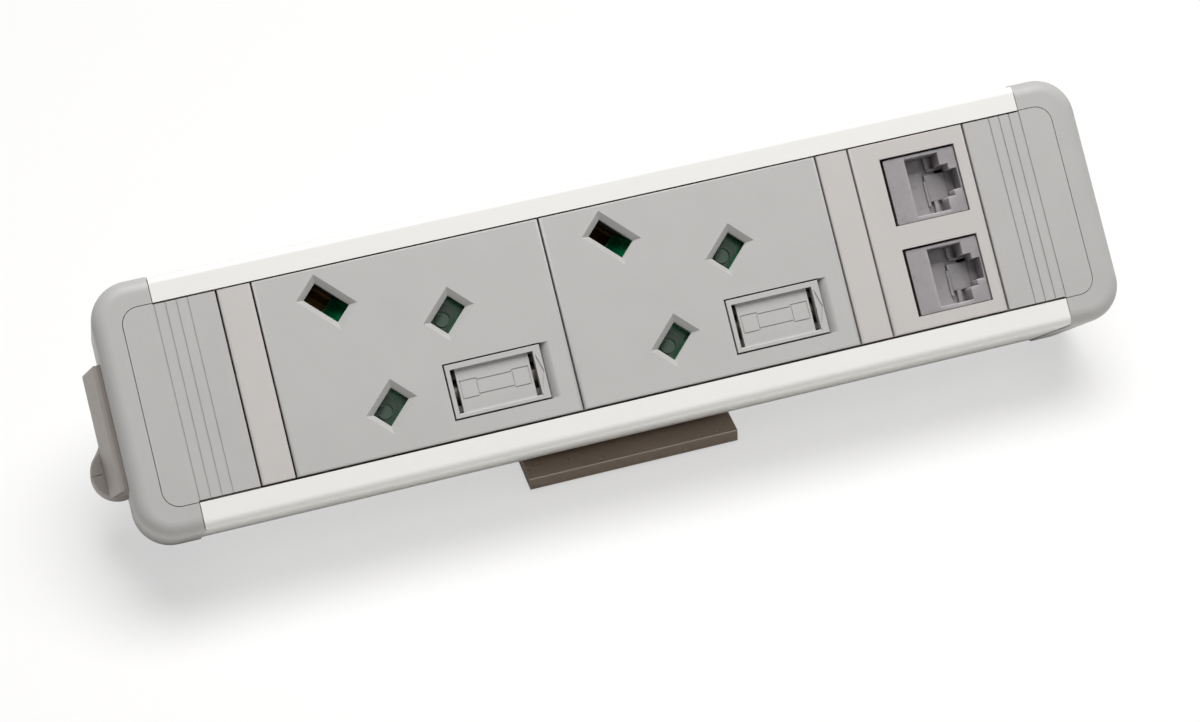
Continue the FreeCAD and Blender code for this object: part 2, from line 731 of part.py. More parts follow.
def socket_front(name, middle):
    body = clip_plate(name + "_plate", middle, "socket_width")
    holes = outline(
        body, name + "_pin_holes", "XY", "0",
        turned_rectangle(middle, "0", "0", "earth_hole_length", "earth_hole_width"),
        turned_rectangle(middle, "pin_pitch", "power_offset", "power_hole_width", "power_hole_length"),
        turned_rectangle(middle, "pin_pitch", "-power_offset", "power_hole_width", "power_hole_length"))
    pocket(body, holes, "plate_thickness + cut_past")
    inside_y = value("module_half") - value("cut_past")
    inside_x = value("socket_width") / 2 - value("cut_past")
    dress(body, "Chamfer", "hole_bevel",
          lambda at, edge: near(at.z, 0) and abs(at.y) < inside_y and abs(at.x - value(middle)) < inside_x)
    low_x = f"{middle} + fuse_x - fuse_well_length / 2"
    high_x = f"{middle} + fuse_x + fuse_well_length / 2"
    low_y, high_y = "fuse_y - fuse_well_width / 2", "fuse_y + fuse_well_width / 2"
    well = outline(body, name + "_fuse_well", "XY", "0", rectangle(low_x, high_x, low_y, high_y))
    pocket(body, well, "plate_thickness + cut_past")
    notch_end, notch_start = f"{high_x} + finger_notch", f"{high_x} - cut_past"
    notch = outline(body, name + "_notch", "XZ", f"-({high_y}) + finger_notch_inset",
                    [(high_x, "cut_past"), (notch_end, "cut_past"), (notch_end, "-finger_notch_lip"),
                     (high_x, "-finger_notch_depth"), (notch_start, "-finger_notch_depth"),
                     (notch_start, "cut_past")])
    pocket(body, notch, "fuse_well_width - 2 * finger_notch_inset", turned=True)
    bosses, pilots = [], []
    for number, (x, y) in enumerate(boss_places(middle)):
        bosses.append(rod(f"{name}_boss_{number}", "boss_radius", "boss_depth + merge",
                          (x, y, "-plate_thickness - boss_depth")))
        pilots.append(rod(f"{name}_pilot_{number}", "socket_screw_radius + screw_gap", "boss_depth",
                          (x, y, "-plate_thickness - boss_depth - merge")))
    keep_tilted(cut(name, fuse(name + "_whole", body, *bosses), *pilots), name)


def shutter_room(name, middle):
    """The space that a shutter slides in, cut into a base."""
    floor = ("-chamber_depth", "-plate_thickness + cut_past")
    free = "shutter_gap"
    travel = f"shutter_travel + {free}"
    stem = f"(shutter_stem_width / 2 + {free})"
    wide = "(shutter_ramp_width / 2 + shutter_gap)"
    return [
        turned_block(name + "_stem_room", middle, (f"stem_start - {free}", f"bar_end + {travel}"),
                     (f"-{stem}", stem), floor),
        turned_block(name + "_bar_room", middle, (f"bar_start - {free}", f"bar_end + {travel}"),
                     (f"-neck_outer - {free}", f"neck_outer + {free}"), floor),
        turned_block(name + "_line_blade_room", middle, (f"bar_start - {free}", f"blade_end + {travel}"),
                     (f"neck_inner - {free}", f"neck_outer + {free}"), floor),
        turned_block(name + "_neutral_blade_room", middle, (f"bar_start - {free}", f"blade_end + {travel}"),
                     (f"-neck_outer - {free}", f"-neck_inner + {free}"), floor),
        turned_block(name + "_blades_room", middle, (f"blade_start - {free}", f"blade_end + {travel}"),
                     (f"-blade_tip - fit_gap", f"blade_tip + fit_gap"), floor),
        turned_block(name + "_ramp_room", middle, ("ramp_start - shutter_gap", f"stem_start + ramp_back + {travel}"),
                     (f"-{wide}", wide), ("-ramp_bottom - shutter_gap", "-plate_thickness + cut_past")),
        turned_block(name + "_earth_way", middle, ("-earth_hole_length / 2", "earth_hole_length / 2"),
                     (f"-{wide}", wide), ("-earth_contact_top - cut_past", "-plate_thickness + cut_past")),
    ]


def contact_room(name, middle, along, aside, long_half, short_half, top):
    """A pocket for one contact and a hole in the floor for its tail."""
    gap = "contact_pocket_gap"
    tail = "(contact_tail / 2 + fit_gap)"
    return [
        turned_block(name + "_pocket", middle, (f"{along} - {long_half} - {gap}", f"{along} + {long_half} + {gap}"),
                     (f"{aside} - {short_half} - {gap}", f"{aside} + {short_half} + {gap}"),
                     ("-contact_bottom - fit_gap", top)),
        turned_block(name + "_tail_hole", middle, (f"{along} - {tail}", f"{along} + {tail}"),
                     (f"{aside} - {tail}", f"{aside} + {tail}"), ("-base_depth - cut_past", "-contact_bottom + cut_past")),
    ]


POWER_HALF = "power_pin_width / 2"
EARTH_HALF = "(earth_pin_width / 2 + earth_leaf_margin)"
GRIP_HALF = "(contact_grip / 2 + contact_leaf)"


def fuse_span(middle, half_length, half_width):
    across = (f"{middle} + fuse_x - {half_length}", f"{middle} + fuse_x + {half_length}")
    return across, (f"fuse_y - {half_width}", f"fuse_y + {half_width}")


def clip_places(middle):
    """Where the two fuse clips' leaves stand, just past the fuse's ends."""
    near_end, far_end = "(fuse_length / 2 + fit_gap)", "(fuse_length / 2 + fit_gap + clip_leaf)"
    return {
        "supply": (f"{middle} + fuse_x - {far_end}", f"{middle} + fuse_x - {near_end}"),
        "socket": (f"{middle} + fuse_x + {near_end}", f"{middle} + fuse_x + {far_end}"),
    }


def socket_base(name, middle):
    half = "(socket_width / 2 - base_side_inset)"
    whole = block(name + "_block", (f"{middle} - {half}", f"{middle} + {half}"), ("-base_half", "base_half"),
                  ("-base_depth", "-plate_thickness"))
    tools = shutter_room(name, middle)
    tools += contact_room(name + "_earth", middle, "0", "0", EARTH_HALF, GRIP_HALF, "-ramp_bottom")
    tools += contact_room(name + "_line", middle, "pin_pitch", "power_offset", GRIP_HALF, POWER_HALF,
                          "-chamber_depth + merge")
    tools += contact_room(name + "_neutral", middle, "pin_pitch", "-power_offset", GRIP_HALF, POWER_HALF,
                          "-chamber_depth + merge")
    across, up = fuse_span(middle, "(well_half_length)", "(cradle_half + fit_gap)")
    tools.append(block(name + "_fuse_room", across, up, ("-carrier_cradle_depth - cut_past", "-plate_thickness + cut_past")))
    for side, span in clip_places(middle).items():
        tools.append(block(f"{name}_{side}_clip_hole", (f"{span[0]} - fit_gap / 2", f"{span[1]} + fit_gap / 2"),
                           ("fuse_y - contact_tail / 2 - fit_gap", "fuse_y + contact_tail / 2 + fit_gap"),
                           ("-base_depth - cut_past", "-carrier_cradle_depth")))
    for number, (x, y) in enumerate(boss_places(middle)):
        tools.append(rod(f"{name}_boss_room_{number}", "boss_radius + fit_gap", "boss_depth + fit_gap + cut_past",
                         (x, y, "-plate_thickness - boss_depth - fit_gap")))
        tools.append(rod(f"{name}_screw_room_{number}", "socket_screw_radius + fit_gap", "base_depth",
                         (x, y, "-base_depth - merge")))
        tools.append(rod(f"{name}_screw_seat_{number}", "socket_screw_head_radius + fit_gap",
                         "socket_screw_head_height + fit_gap + cut_past", (x, y, "-base_depth - cut_past")))
    hollowed = cut(name + "_hollowed", whole, *tools)
    post = turned_block(name + "_post", middle, ("spring_end + spring_gap", "post_end"),
                        ("-spring_radius - spring_wire_radius", "spring_radius + spring_wire_radius"),
                        ("-chamber_depth - merge", "-shutter_top"))
    keep_tilted(fuse(name, hollowed, post), name)


def socket_screws():
    screws = []
    for side, middle in (("first", "first_socket_x"), ("second", "second_socket_x")):
        for number, (x, y) in enumerate(boss_places(middle)):
            name = f"{side}_socket_screw_{number}"
            head = rod(name + "_head", "socket_screw_head_radius", "socket_screw_head_height", (x, y, "-base_depth"))
            shank = rod(name + "_shank", "socket_screw_radius",
                        "base_depth - plate_thickness - socket_screw_tip_gap", (x, y, "-base_depth"))
            driver = driver_slot(name + "_driver", x, y, "socket_screw",
                                 ("-base_depth - cut_past", "-base_depth + driver_slot_depth"))
            screws.append(cut(name, fuse(name + "_blank", head, shank), driver))
    keep_tilted(group("socket_screws", *screws), "socket_screws")


def shutter(name, middle):
    """A sliding shutter: a ramp under the earth hole, a stem, a bar and two blades."""
    level = ("-shutter_bottom", "-shutter_top")

    def slab(label, along, aside):
        return turned_block(f"{name}_{label}", middle, along, aside, level)
    parts = [
        slab("stem", ("stem_start", "bar_end"), ("-shutter_stem_width / 2", "shutter_stem_width / 2")),
        slab("bar", ("bar_start", "bar_end"), ("-neck_outer", "neck_outer")),
        slab("line_neck", ("bar_start", "blade_end"), ("neck_inner", "neck_outer")),
        slab("line_blade", ("blade_start", "blade_end"), ("neck_inner", "blade_tip")),
        slab("neutral_neck", ("bar_start", "blade_end"), ("-neck_outer", "-neck_inner")),
        slab("neutral_blade", ("blade_start", "blade_end"), ("-blade_tip", "-neck_inner")),
    ]
    for side, way in (("line", 1), ("neutral", -1)):
        parts.append(rod(f"{name}_{side}_boss", "shutter_boss_radius", "shutter_thickness + shutter_boss_height",
                         (*turned(middle, "pin_pitch", f"{way} * power_offset"), "-shutter_bottom")))
    ramp = new_body(name + "_ramp")
    back = "stem_start + ramp_back"
    profile = outline(ramp, name + "_ramp_profile", "XZ", "-shutter_ramp_width / 2",
                      [("ramp_start", "-ramp_bottom"), ("ramp_start", "-ramp_bottom + ramp_lip"),
                       ("stem_start", "-shutter_top"), (back, "-shutter_top"), (back, "-ramp_bottom")])
    pad(ramp, profile, "shutter_ramp_width")
    parts.append(turn(ramp, Vector(0, 0, -1), "pin_turn", (*turned(middle, "0", "0"), "0")))
    window = turned_block(name + "_window", middle, ("window_start", "window_end"),
                          ("-window_half", "window_half"), ("-shutter_bottom - cut_past", "-shutter_top + cut_past"))
    keep_tilted(cut(name, fuse(name + "_whole", *parts), window), name)


def shutter_spring(name, middle):
    """One unbroken coil between the end of the shutter's window and the base's post."""
    wire, radius = value("spring_wire_radius"), value("spring_radius")
    run = value("spring_length") - 2 * wire
    pitch = run / value("spring_turns")
    helix = Part.makeHelix(pitch, run, radius)
    section = Part.Wire(Part.makeCircle(wire, Vector(radius, 0, 0), Vector(0, 1, 0)))
    coil = Part.Wire(helix.Edges).makePipeShell([section], True, True)
    level = -value("shutter_top") - value("shutter_thickness") / 2
    along = Placement(Vector(value("window_start") + value("spring_gap") + wire, 0, level), Rotation(Vector(0, 1, 0), 90))
    centre = Vector(value(middle) + value("earth_x"), value("earth_y"), 0)
    pins = Placement(centre, Rotation(Vector(0, 0, -1), value("pin_turn")))
    item = doc.addObject("Part::Feature", name)
    item.Shape = coil.transformGeometry((pins * along).toMatrix())
    keep_tilted(item, name)


def fork(name, middle, aside, half_length, half_width, top, grips):
    """A contact: two sprung leaves on a web, with a tail through the base's floor."""
    along = "0" if grips == "earth" else "pin_pitch"
    whole_along = (f"{along} - {half_length}", f"{along} + {half_length}")
    whole_aside = (f"{aside} - {half_width}", f"{aside} + {half_width}")
    parts = []
    for label, way in (("one", -1), ("two", 1)):
        leaf = (f"{way} * contact_grip / 2", f"{way} * {GRIP_HALF}")[::way]
        if grips == "earth":
            spans = (whole_along, tuple(f"{aside} + {side}" for side in leaf))
        else:
            spans = (tuple(f"{along} + {side}" for side in leaf), whole_aside)
        parts.append(turned_block(f"{name}_leaf_{label}", middle, *spans, ("-contact_bottom", top)))
    parts.append(turned_block(name + "_web", middle, whole_along, whole_aside,
                              ("-contact_bottom", "-contact_bottom + contact_leaf")))
    tail = "contact_tail / 2"
    parts.append(turned_block(name + "_tail", middle, (f"{along} - {tail}", f"{along} + {tail}"),
                              (f"{aside} - {tail}", f"{aside} + {tail}"),
                              ("-tail_bottom", "-contact_bottom + contact_leaf")))
    keep_tilted(fuse(name, *parts), name)


def socket_contacts(number, middle):
    fork(f"earth_contact_{number}", middle, "0", EARTH_HALF, GRIP_HALF, "-earth_contact_top", "earth")
    fork(f"line_contact_{number}", middle, "power_offset", GRIP_HALF, POWER_HALF, "-power_contact_top", "power")
    fork(f"neutral_contact_{number}", middle, "-power_offset", GRIP_HALF, POWER_HALF, "-power_contact_top", "power")


def fuse_carrier(name, middle):
    """A drawer for the fuse: a bordered front, a recessed panel and a cradle behind it."""
    across, up = fuse_span(middle, "(fuse_well_length / 2 - fit_gap)", "(fuse_well_width / 2 - fit_gap)")
    front = block(name + "_front", across, up, ("-plate_thickness", "0"))
    inner = "fuse_well_length / 2 - fit_gap - carrier_border"
    recess_across, recess_up = fuse_span(middle, f"({inner})", "(fuse_well_width / 2 - fit_gap - carrier_border)")
    recess = block(name + "_recess", recess_across, recess_up, ("-carrier_recess", "cut_past"))
    slots = []
    for side, low, high in (("left", recess_across[0], f"{recess_across[0]} + carrier_slot"),
                            ("right", f"{recess_across[1]} - carrier_slot", recess_across[1])):
        slots.append(block(f"{name}_{side}_slot", (low, high), recess_up, ("-plate_thickness - cut_past", "cut_past")))
    fronted = cut(name + "_panel", front, recess, *slots)
    walls = []
    for side, low, high in (("low", "fuse_y - cradle_half", "fuse_y - cradle_half + carrier_cradle_wall"),
                            ("high", "fuse_y + cradle_half - carrier_cradle_wall", "fuse_y + cradle_half")):
        walls.append(block(f"{name}_{side}_wall",
                           (f"{middle} + fuse_x - fuse_length / 2 + cradle_end_gap",
                            f"{middle} + fuse_x + fuse_length / 2 - cradle_end_gap"),
                           (low, high), ("-carrier_cradle_depth", "-plate_thickness + seat_gap")))
    floor = block(name + "_floor",
                  (f"{middle} + fuse_x - fuse_length / 2 + cradle_floor_inset",
                   f"{middle} + fuse_x + fuse_length / 2 - cradle_floor_inset"),
                  ("fuse_y - cradle_half", "fuse_y + cradle_half"),
                  ("-fuse_depth - fuse_radius - fit_gap - cradle_floor_thickness", "-fuse_depth - fuse_radius - fit_gap"))
    keep_tilted(fuse(name, fronted, *walls, floor), name)


def glass_fuse(name, middle):
    start = f"{middle} + fuse_x - fuse_length / 2"
    at = ("fuse_y", "-fuse_depth")
    barrel = rod(name + "_barrel", "fuse_radius - fuse_cap_step", "fuse_length - 2 * merge", (f"{start} + merge", *at), "x")
    caps = [rod(name + "_cap_left", "fuse_radius", "fuse_cap_length", (start, *at), "x"),
            rod(name + "_cap_right", "fuse_radius", "fuse_cap_length",
                (f"{start} + fuse_length - fuse_cap_length", *at), "x")]
    keep_tilted(fuse(name, barrel, *caps), name)


def fuse_clips(name, middle):
    clips = []
    for side, span in clip_places(middle).items():
        leaf = block(f"{name}_{side}_leaf", span, ("fuse_y - clip_width / 2", "fuse_y + clip_width / 2"),
                     ("-carrier_cradle_depth - cut_past", "clip_top_drop - fuse_depth"))
        tail = block(f"{name}_{side}_tail", span, ("fuse_y - contact_tail / 2", "fuse_y + contact_tail / 2"),
                     ("-tail_bottom", "-carrier_cradle_depth"))
        clips.append(fuse(f"{name}_{side}", leaf, tail))
    keep_tilted(group(name, *clips), name)


# Data plate and its two jacks

def jack_middle(way):
    return f"({way} * jack_pitch / 2 - jack_drop)"


JACK_WAYS = (("upper", 1), ("lower", -1))


def data_plate():
    body = clip_plate("data_front", "data_x", "data_width")
    holes = [rectangle("jack_left", "jack_right", f"{jack_middle(way)} - jack_height / 2",
                       f"{jack_middle(way)} + jack_height / 2") for side, way in JACK_WAYS]
    pocket(body, outline(body, "jack_holes", "XY", "0", *holes), "plate_thickness + cut_past")
    keep_tilted(body, "data_plate")


def data_jack(side, way):
    name, middle = "data_jack_" + side, jack_middle(way)
    half = f"(jack_height / 2 - fit_gap)"
    front = block(name + "_front", ("jack_left + fit_gap", "jack_right - fit_gap"),
                  (f"{middle} - {half}", f"{middle} + {half}"), ("-plate_thickness - jack_step", "-jack_setback"))
    rear = block(name + "_rear", ("jack_left + fit_gap", "jack_right - fit_gap"),
                 (f"{middle} - {half}", f"{middle} + {half}"), ("-jack_depth", "merge - plate_thickness - jack_step"))
    lug = block(name + "_lug", ("jack_right - fit_gap - merge", "jack_right + jack_lug_reach"),
                (f"{middle} - jack_lug_height / 2", f"{middle} + jack_lug_height / 2"),
                ("-plate_thickness - fit_gap - jack_lug_thickness", "-plate_thickness - fit_gap"))
    tools = []
    for label, low, high, tall in (
            ("port", "port_start", "port_end", "port_height"),
            ("latch_wide", "port_end - fit_gap", "port_end + latch_step", "latch_wide"),
            ("latch_narrow", "port_end", "port_end + 2 * latch_step", "latch_narrow")):
        tools.append(block(f"{name}_{label}", (low, high), (f"{middle} - {tall} / 2", f"{middle} + {tall} / 2"),
                           ("-port_depth", "cut_past")))
    keep_tilted(cut(name, fuse(name + "_block", front, rear, lug), *tools), name)


def jack_contacts(side, way):
    """Eight sprung wires that lean into the port from its left wall."""
    wires = []
    slope = value("jack_wire_slope")
    for number in range(8):
        wire = doc.addObject("Part::Cylinder", f"jack_wire_{side}_{number}")
        bind(wire, Radius="jack_wire_radius", Height="jack_wire_length")
        wire.Placement = Placement(Vector(), Rotation(Vector(0, 1, 0), slope))
        bind(wire, Placement__Base__x="port_start + jack_wire_radius + jack_wire_gap",
             Placement__Base__y=f"{jack_middle(way)} + ({number} - 3.5) * jack_wire_pitch",
             Placement__Base__z="-port_depth + fit_gap")
        wires.append(wire)
    keep_tilted(group("jack_contacts_" + side, *wires), "jack_contacts_" + side)


def jack_cap(side, way):
    """The slotted cap on the jack's back that holds the cable's cores."""
    name, middle = "jack_cap_" + side, jack_middle(way)
    half = "(jack_height / 2 - jack_wall)"
    whole = block(name + "_block", ("jack_left + jack_wall", "jack_right - jack_wall"),
                  (f"{middle} - {half}", f"{middle} + {half}"), ("-jack_depth - jack_cap_depth", "-jack_depth"))
    slots = []
    for number in range(4):
        at = f"{middle} + ({number} - 1.5) * jack_slot_pitch"
        slots.append(block(f"{name}_slot_{number}", ("jack_left", "jack_right"),
                           (f"{at} - jack_slot_width / 2", f"{at} + jack_slot_width / 2"),
                           ("-jack_depth - jack_cap_depth - cut_past", "-jack_depth - jack_cap_depth + jack_slot_depth")))
    keep_tilted(cut(name, whole, *slots), name)


# Mains inlet and data gland in the left cap

def inlet_hole():
    half = "(inlet_box_half + fit_gap)"
    return block("inlet_window", ("-cap_outer - cut_past", "-cap_outer + cap_wall + cut_past"),
                 (f"-inlet_drop - {half}", f"-inlet_drop + {half}"),
                 ("-inlet_box_rear - fit_gap", "-inlet_box_front + fit_gap"))


def inlet_slope(inset):
    """The wedge's outer profile from front to rear, drawn in from it by the inset."""
    return [(f"-cap_outer - inlet_front_reach + {inset}", "-inlet_front"),
            (f"-cap_outer - inlet_rear_reach + {inset}", "-inlet_rear + inlet_wall"),
            (f"-cap_outer - inlet_rear_reach + {inset}", "-inlet_rear")]


def on_inlet_slope(at):
    """True for a point on the wedge's outer slope, short of its rear end."""
    (x, z), (rear_x, rear_z) = [(evaluate(x), evaluate(z)) for x, z in inlet_slope("0")[:2]]
    return near((at.x - x) * (rear_z - z), (at.z - z) * (rear_x - x)) and at.z > rear_z + value("merge")


def inlet_cavity_half():
    return "(inlet_box_half - inlet_wall)"


def mains_inlet():
    """A wedge-shaped flange on the cap's side and the socket body that passes through it."""
    body = new_body("inlet_flange")
    wedge = outline(body, "inlet_wedge", "XZ", "inlet_drop - inlet_height / 2",
                    [("-cap_outer", "-inlet_front"), *inlet_slope("inlet_cover_thickness"),
                     ("-cap_outer", "-inlet_rear")])
    pad(body, wedge, "inlet_height")
    box = block("inlet_box", ("-inlet_box_inner - inlet_body_depth", "-inlet_box_inner"),
                ("-inlet_drop - inlet_box_half", "-inlet_drop + inlet_box_half"),
                ("-inlet_box_rear", "-inlet_box_front"))
    half = inlet_cavity_half()
    cavity = block("inlet_cavity", ("-cap_outer - inlet_rear_reach - cut_past",
                                      "-cap_outer - inlet_rear_reach + inlet_cavity_depth"),
                   (f"-inlet_drop - {half}", f"-inlet_drop + {half}"),
                   ("-inlet_box_rear + inlet_wall", "-inlet_box_front - inlet_wall"))
    holes = [rod(f"inlet_pin_hole_{number}", "inlet_pin_radius + screw_gap", "inlet_body_depth",
                 ("-inlet_box_inner + merge", y, "-inlet_middle"), "-x")
             for number, y in enumerate(inlet_pin_places())]
    keep_tilted(cut("mains_inlet", fuse("inlet_whole", body, box), cavity, *holes), "mains_inlet")


def inlet_cover():
    """A push-in cover over the wedge's slope, with a plug that fits the inlet's mouth."""
    body = new_body("inlet_cover_plate")
    plate = outline(body, "inlet_cover_profile", "XZ", "inlet_drop - inlet_height / 2",
                    [*inlet_slope("0"), *reversed(inlet_slope("inlet_cover_thickness"))])
    pad(body, plate, "inlet_height")
    dress(body, "Fillet", "plate_edge_round", lambda at, edge: on_inlet_slope(at))
    half = f"({inlet_cavity_half()} - fit_gap)"
    plug = block("inlet_cover_plug", ("-cap_outer - inlet_cover_lap", "-cap_outer"),
                 (f"-inlet_drop - {half}", f"-inlet_drop + {half}"),
                 ("-inlet_box_rear + inlet_wall + fit_gap", "-inlet_box_front - inlet_wall - fit_gap"))
    keep_tilted(fuse("inlet_cover", body, plug), "inlet_cover")


def inlet_pin_places():
    return [f"-inlet_drop + {way} * inlet_pin_pitch" for way in (-1, 0, 1)]


def inlet_pins():
    pins = []
    reach = "(inlet_cavity_depth - inlet_rear_reach)"
    for number, y in enumerate(inlet_pin_places()):
        start = f"-cap_outer + {reach} - inlet_pin_length"
        length = f"(cap_outer - inlet_box_inner) - {reach} + inlet_pin_length + inlet_tail_length"
        pins.append(rod(f"inlet_pin_{number}", "inlet_pin_radius", length, (start, y, "-inlet_middle"), "x"))
    keep_tilted(group("inlet_pins", *pins), "inlet_pins")


GLAND_AXIS = ("-gland_x", "-gland_drop")


def gland_form(name, extra):
    """The gland's outer form: a barrel front to back and a neck that flares down into it."""
    barrel = rod(name + "_barrel", f"gland_radius + {extra}", f"body_depth - gland_front + {extra}",
                 (*GLAND_AXIS, "-body_depth"))
    neck = cone(name + "_neck", f"gland_neck_foot + {extra}", f"gland_neck_radius + {extra}",
                f"gland_neck_length + {extra}", (*GLAND_AXIS, "-gland_middle"), "y")
    return fuse(name, barrel, neck)


def gland_room():
    """What the gland takes out of the cap's side."""
    behind = rod("gland_room_behind", "gland_radius + fit_gap", "cap_wall", (*GLAND_AXIS, "-body_depth"), "-z")
    return fuse("gland_room", gland_form("gland_room_form", "fit_gap"), behind)


def gland_half(side, way):
    """Half of the gland that the data cables leave by, split level with its bore."""
    name = f"gland_{side}_half"
    bore = rod(name + "_bore", "gland_bore", "body_depth - gland_front",
               (*GLAND_AXIS, "-body_depth - gland_wall"))
    inward = rod(name + "_inward", "gland_bore", "gland_radius + cut_past", (*GLAND_AXIS, "-gland_middle"), "x")
    split, beyond = "seam / 6", "gland_radius + gland_neck_length"
    other = sorted((f"-gland_drop + {way} * ({split})", f"-gland_drop - {way} * ({beyond})"),
                   key=evaluate)
    away = block(name + "_away", ("-gland_x - 2 * gland_radius", "-gland_x + 2 * gland_radius"), other,
                 ("-body_depth - cut_past", "-gland_front + cut_past"))
    keep_tilted(cut(name, gland_form(name + "_form", "0"), bore, inward, away), name)


# Conductors inside the shell

def pipe(points, radius, bend):
    """A round tube along straight runs joined by tangent arcs."""
    edges_made = []
    start = points[0]
    for before, corner, after in zip(points, points[1:], points[2:]):
        inward = (before - corner).normalize()
        onward = (after - corner).normalize()
        half_turn = (math.pi - inward.getAngle(onward)) / 2
        trim = bend * math.tan(half_turn)
        first, last = corner + inward * trim, corner + onward * trim
        middle_way = (inward + onward).normalize()
        middle = corner + middle_way * (bend / math.cos(half_turn) - bend)
        edges_made.append(Part.LineSegment(start, first).toShape())
        edges_made.append(Part.Arc(first, middle, last).toShape())
        start = last
    edges_made.append(Part.LineSegment(start, points[-1]).toShape())
    path = Part.Wire(edges_made)
    way = (points[1] - points[0]).normalize()
    section = Part.Wire(Part.makeCircle(radius, points[0], way))
    return path.makePipeShell([section], True, False)


def conductor(name, inlet_y, along_y):
    """An insulated core from the back of an inlet pin, under the bases, to the far socket's fuse."""
    start = -value("inlet_box_inner") + value("inlet_tail_length") + value("wire_gap")
    first = start + value("wire_run")
    second = first + value("wire_step")
    high, low = -value("inlet_middle"), -value("wire_level")
    end = value("second_socket_x") + value("fuse_x")
    points = [Vector(start, inlet_y, high), Vector(first, inlet_y, high), Vector(second, along_y, low),
              Vector(end, along_y, low)]
    item = doc.addObject("Part::Feature", name)
    item.Shape = pipe(points, value("wire_radius"), value("wire_bend"))
    keep_tilted(item, name)


def conductors():
    middle, pitch = -value("inlet_drop"), value("inlet_pin_pitch")
    row, step = value("wire_row"), value("wire_row_pitch")
    conductor("earth_core", middle + pitch, row)
    conductor("line_core", middle, -row)
    conductor("neutral_core", middle - pitch, -row - step)


# Foot and tilt bracket

def foot_plate():
    body = new_body("foot_blank")
    plan = outline(body, "foot_plan", "XY", "pad_thickness",
                   rectangle("-foot_width / 2", "foot_width / 2", "-foot_length / 2", "foot_length / 2"))
    pad(body, plan, "foot_thickness")
    holes = []
    for number, x in enumerate(bracket_screw_x()):
        holes.append(rod(f"foot_hole_{number}", "bracket_screw_radius + screw_gap", "foot_thickness + 2 * cut_past",
                         (x, "foot_screw_y", "pad_thickness - cut_past")))
        holes.append(cone(f"foot_sink_{number}", "foot_screw_head_radius + screw_gap", "bracket_screw_radius + screw_gap",
                          "foot_screw_head_radius - bracket_screw_radius", (x, "foot_screw_y", "pad_thickness")))
    keep(cut("foot_plate", body, *holes), "foot_plate")


def foot_pad():
    half_x, half_y = "(foot_width / 2 - pad_inset)", "(foot_length / 2 - pad_inset)"
    keep(block("foot_pad", (f"-{half_x}", half_x), (f"-{half_y}", half_y), ("0", "pad_thickness")), "foot_pad")


def bracket_screw_x():
    return [f"{way} * bracket_screw_spread / 2" for way in (-1, 1)]


def slope_point(along, behind):
    """A point beside the shell's back: along it from its lower corner, and behind it."""
    return (f"corner_y + ({along}) * cos(face_tilt) + ({behind}) * sin(face_tilt)",
            f"corner_z + ({along}) * sin(face_tilt) - ({behind}) * cos(face_tilt)")


def tilt_bracket():
    body = new_body("bracket_sheet")
    thick = "bracket_thickness"
    low = "(plate_top - corner_z) / sin(face_tilt)"
    inner = f"(plate_top + {thick} - corner_z + {thick} * cos(face_tilt)) / sin(face_tilt)"
    rear = f"({slope_point(low, '0')[0]} + bracket_base_reach)"
    tip, fold = slope_point("bracket_reach", "0"), slope_point(inner, thick)
    profile = outline(body, "bracket_profile", "YZ", "-bracket_width / 2",
                      [slope_point(low, "0"), (rear, "plate_top"), (rear, f"plate_top + {thick}"), fold,
                       slope_point("bracket_reach", thick), tip])
    pad(body, profile, "bracket_width")
    cheeks = []
    for side, level in (("left", "-bracket_width / 2"), ("right", f"bracket_width / 2 - {thick}")):
        cheek = new_body(f"bracket_cheek_{side}")
        shape = outline(cheek, f"cheek_profile_{side}", "YZ", level,
                        [slope_point(f"{inner} - merge", f"{thick} / 2"),
                         (f"{rear} - cheek_inset", f"plate_top + {thick} / 2"),
                         (f"{rear} - cheek_inset", f"plate_top + {thick} + cheek_rise"),
                         slope_point("bracket_reach - cheek_inset", f"{thick} + cheek_rise"),
                         slope_point("bracket_reach - cheek_inset", f"{thick} / 2")])
        pad(cheek, shape, thick)
        cheeks.append(cheek)
    holes = [rod(f"bracket_foot_hole_{number}", "bracket_screw_radius + screw_gap", "bracket_thickness + 2 * cut_past",
                 (x, "foot_screw_y", "plate_top - cut_past")) for number, x in enumerate(bracket_screw_x())]
    for number, x in enumerate(bracket_screw_x()):
        hole = rod(f"bracket_slope_hole_{number}", "bracket_screw_radius + fit_gap", "bracket_thickness + 2 * cut_past", ("0",) * 3)
        holes.append(turn(hole, Vector(1, 0, 0), "face_tilt", (x, *slope_point("half_height", f"{thick} + cut_past"))))
    keep(cut("tilt_bracket", fuse("bracket_whole", body, *cheeks), *holes), "tilt_bracket")


def slot_nuts():
    half = "(slot_width / 2 - fit_gap)"
    nuts = []
    for number, x in enumerate(bracket_screw_x()):
        whole = block(f"slot_nut_{number}_block", (f"{x} - nut_length / 2", f"{x} + nut_length / 2"), (f"-{half}", half),
                      ("-inner_depth", "-inner_depth + slot_height - fit_gap"))
        hole = rod(f"slot_nut_{number}_hole", "bracket_screw_radius + screw_gap", "slot_height + 2 * cut_past",
                   (x, "0", "-inner_depth - cut_past"))
        nuts.append(cut(f"slot_nut_{number}", whole, hole))
    keep_tilted(group("slot_nuts", *nuts), "slot_nuts")


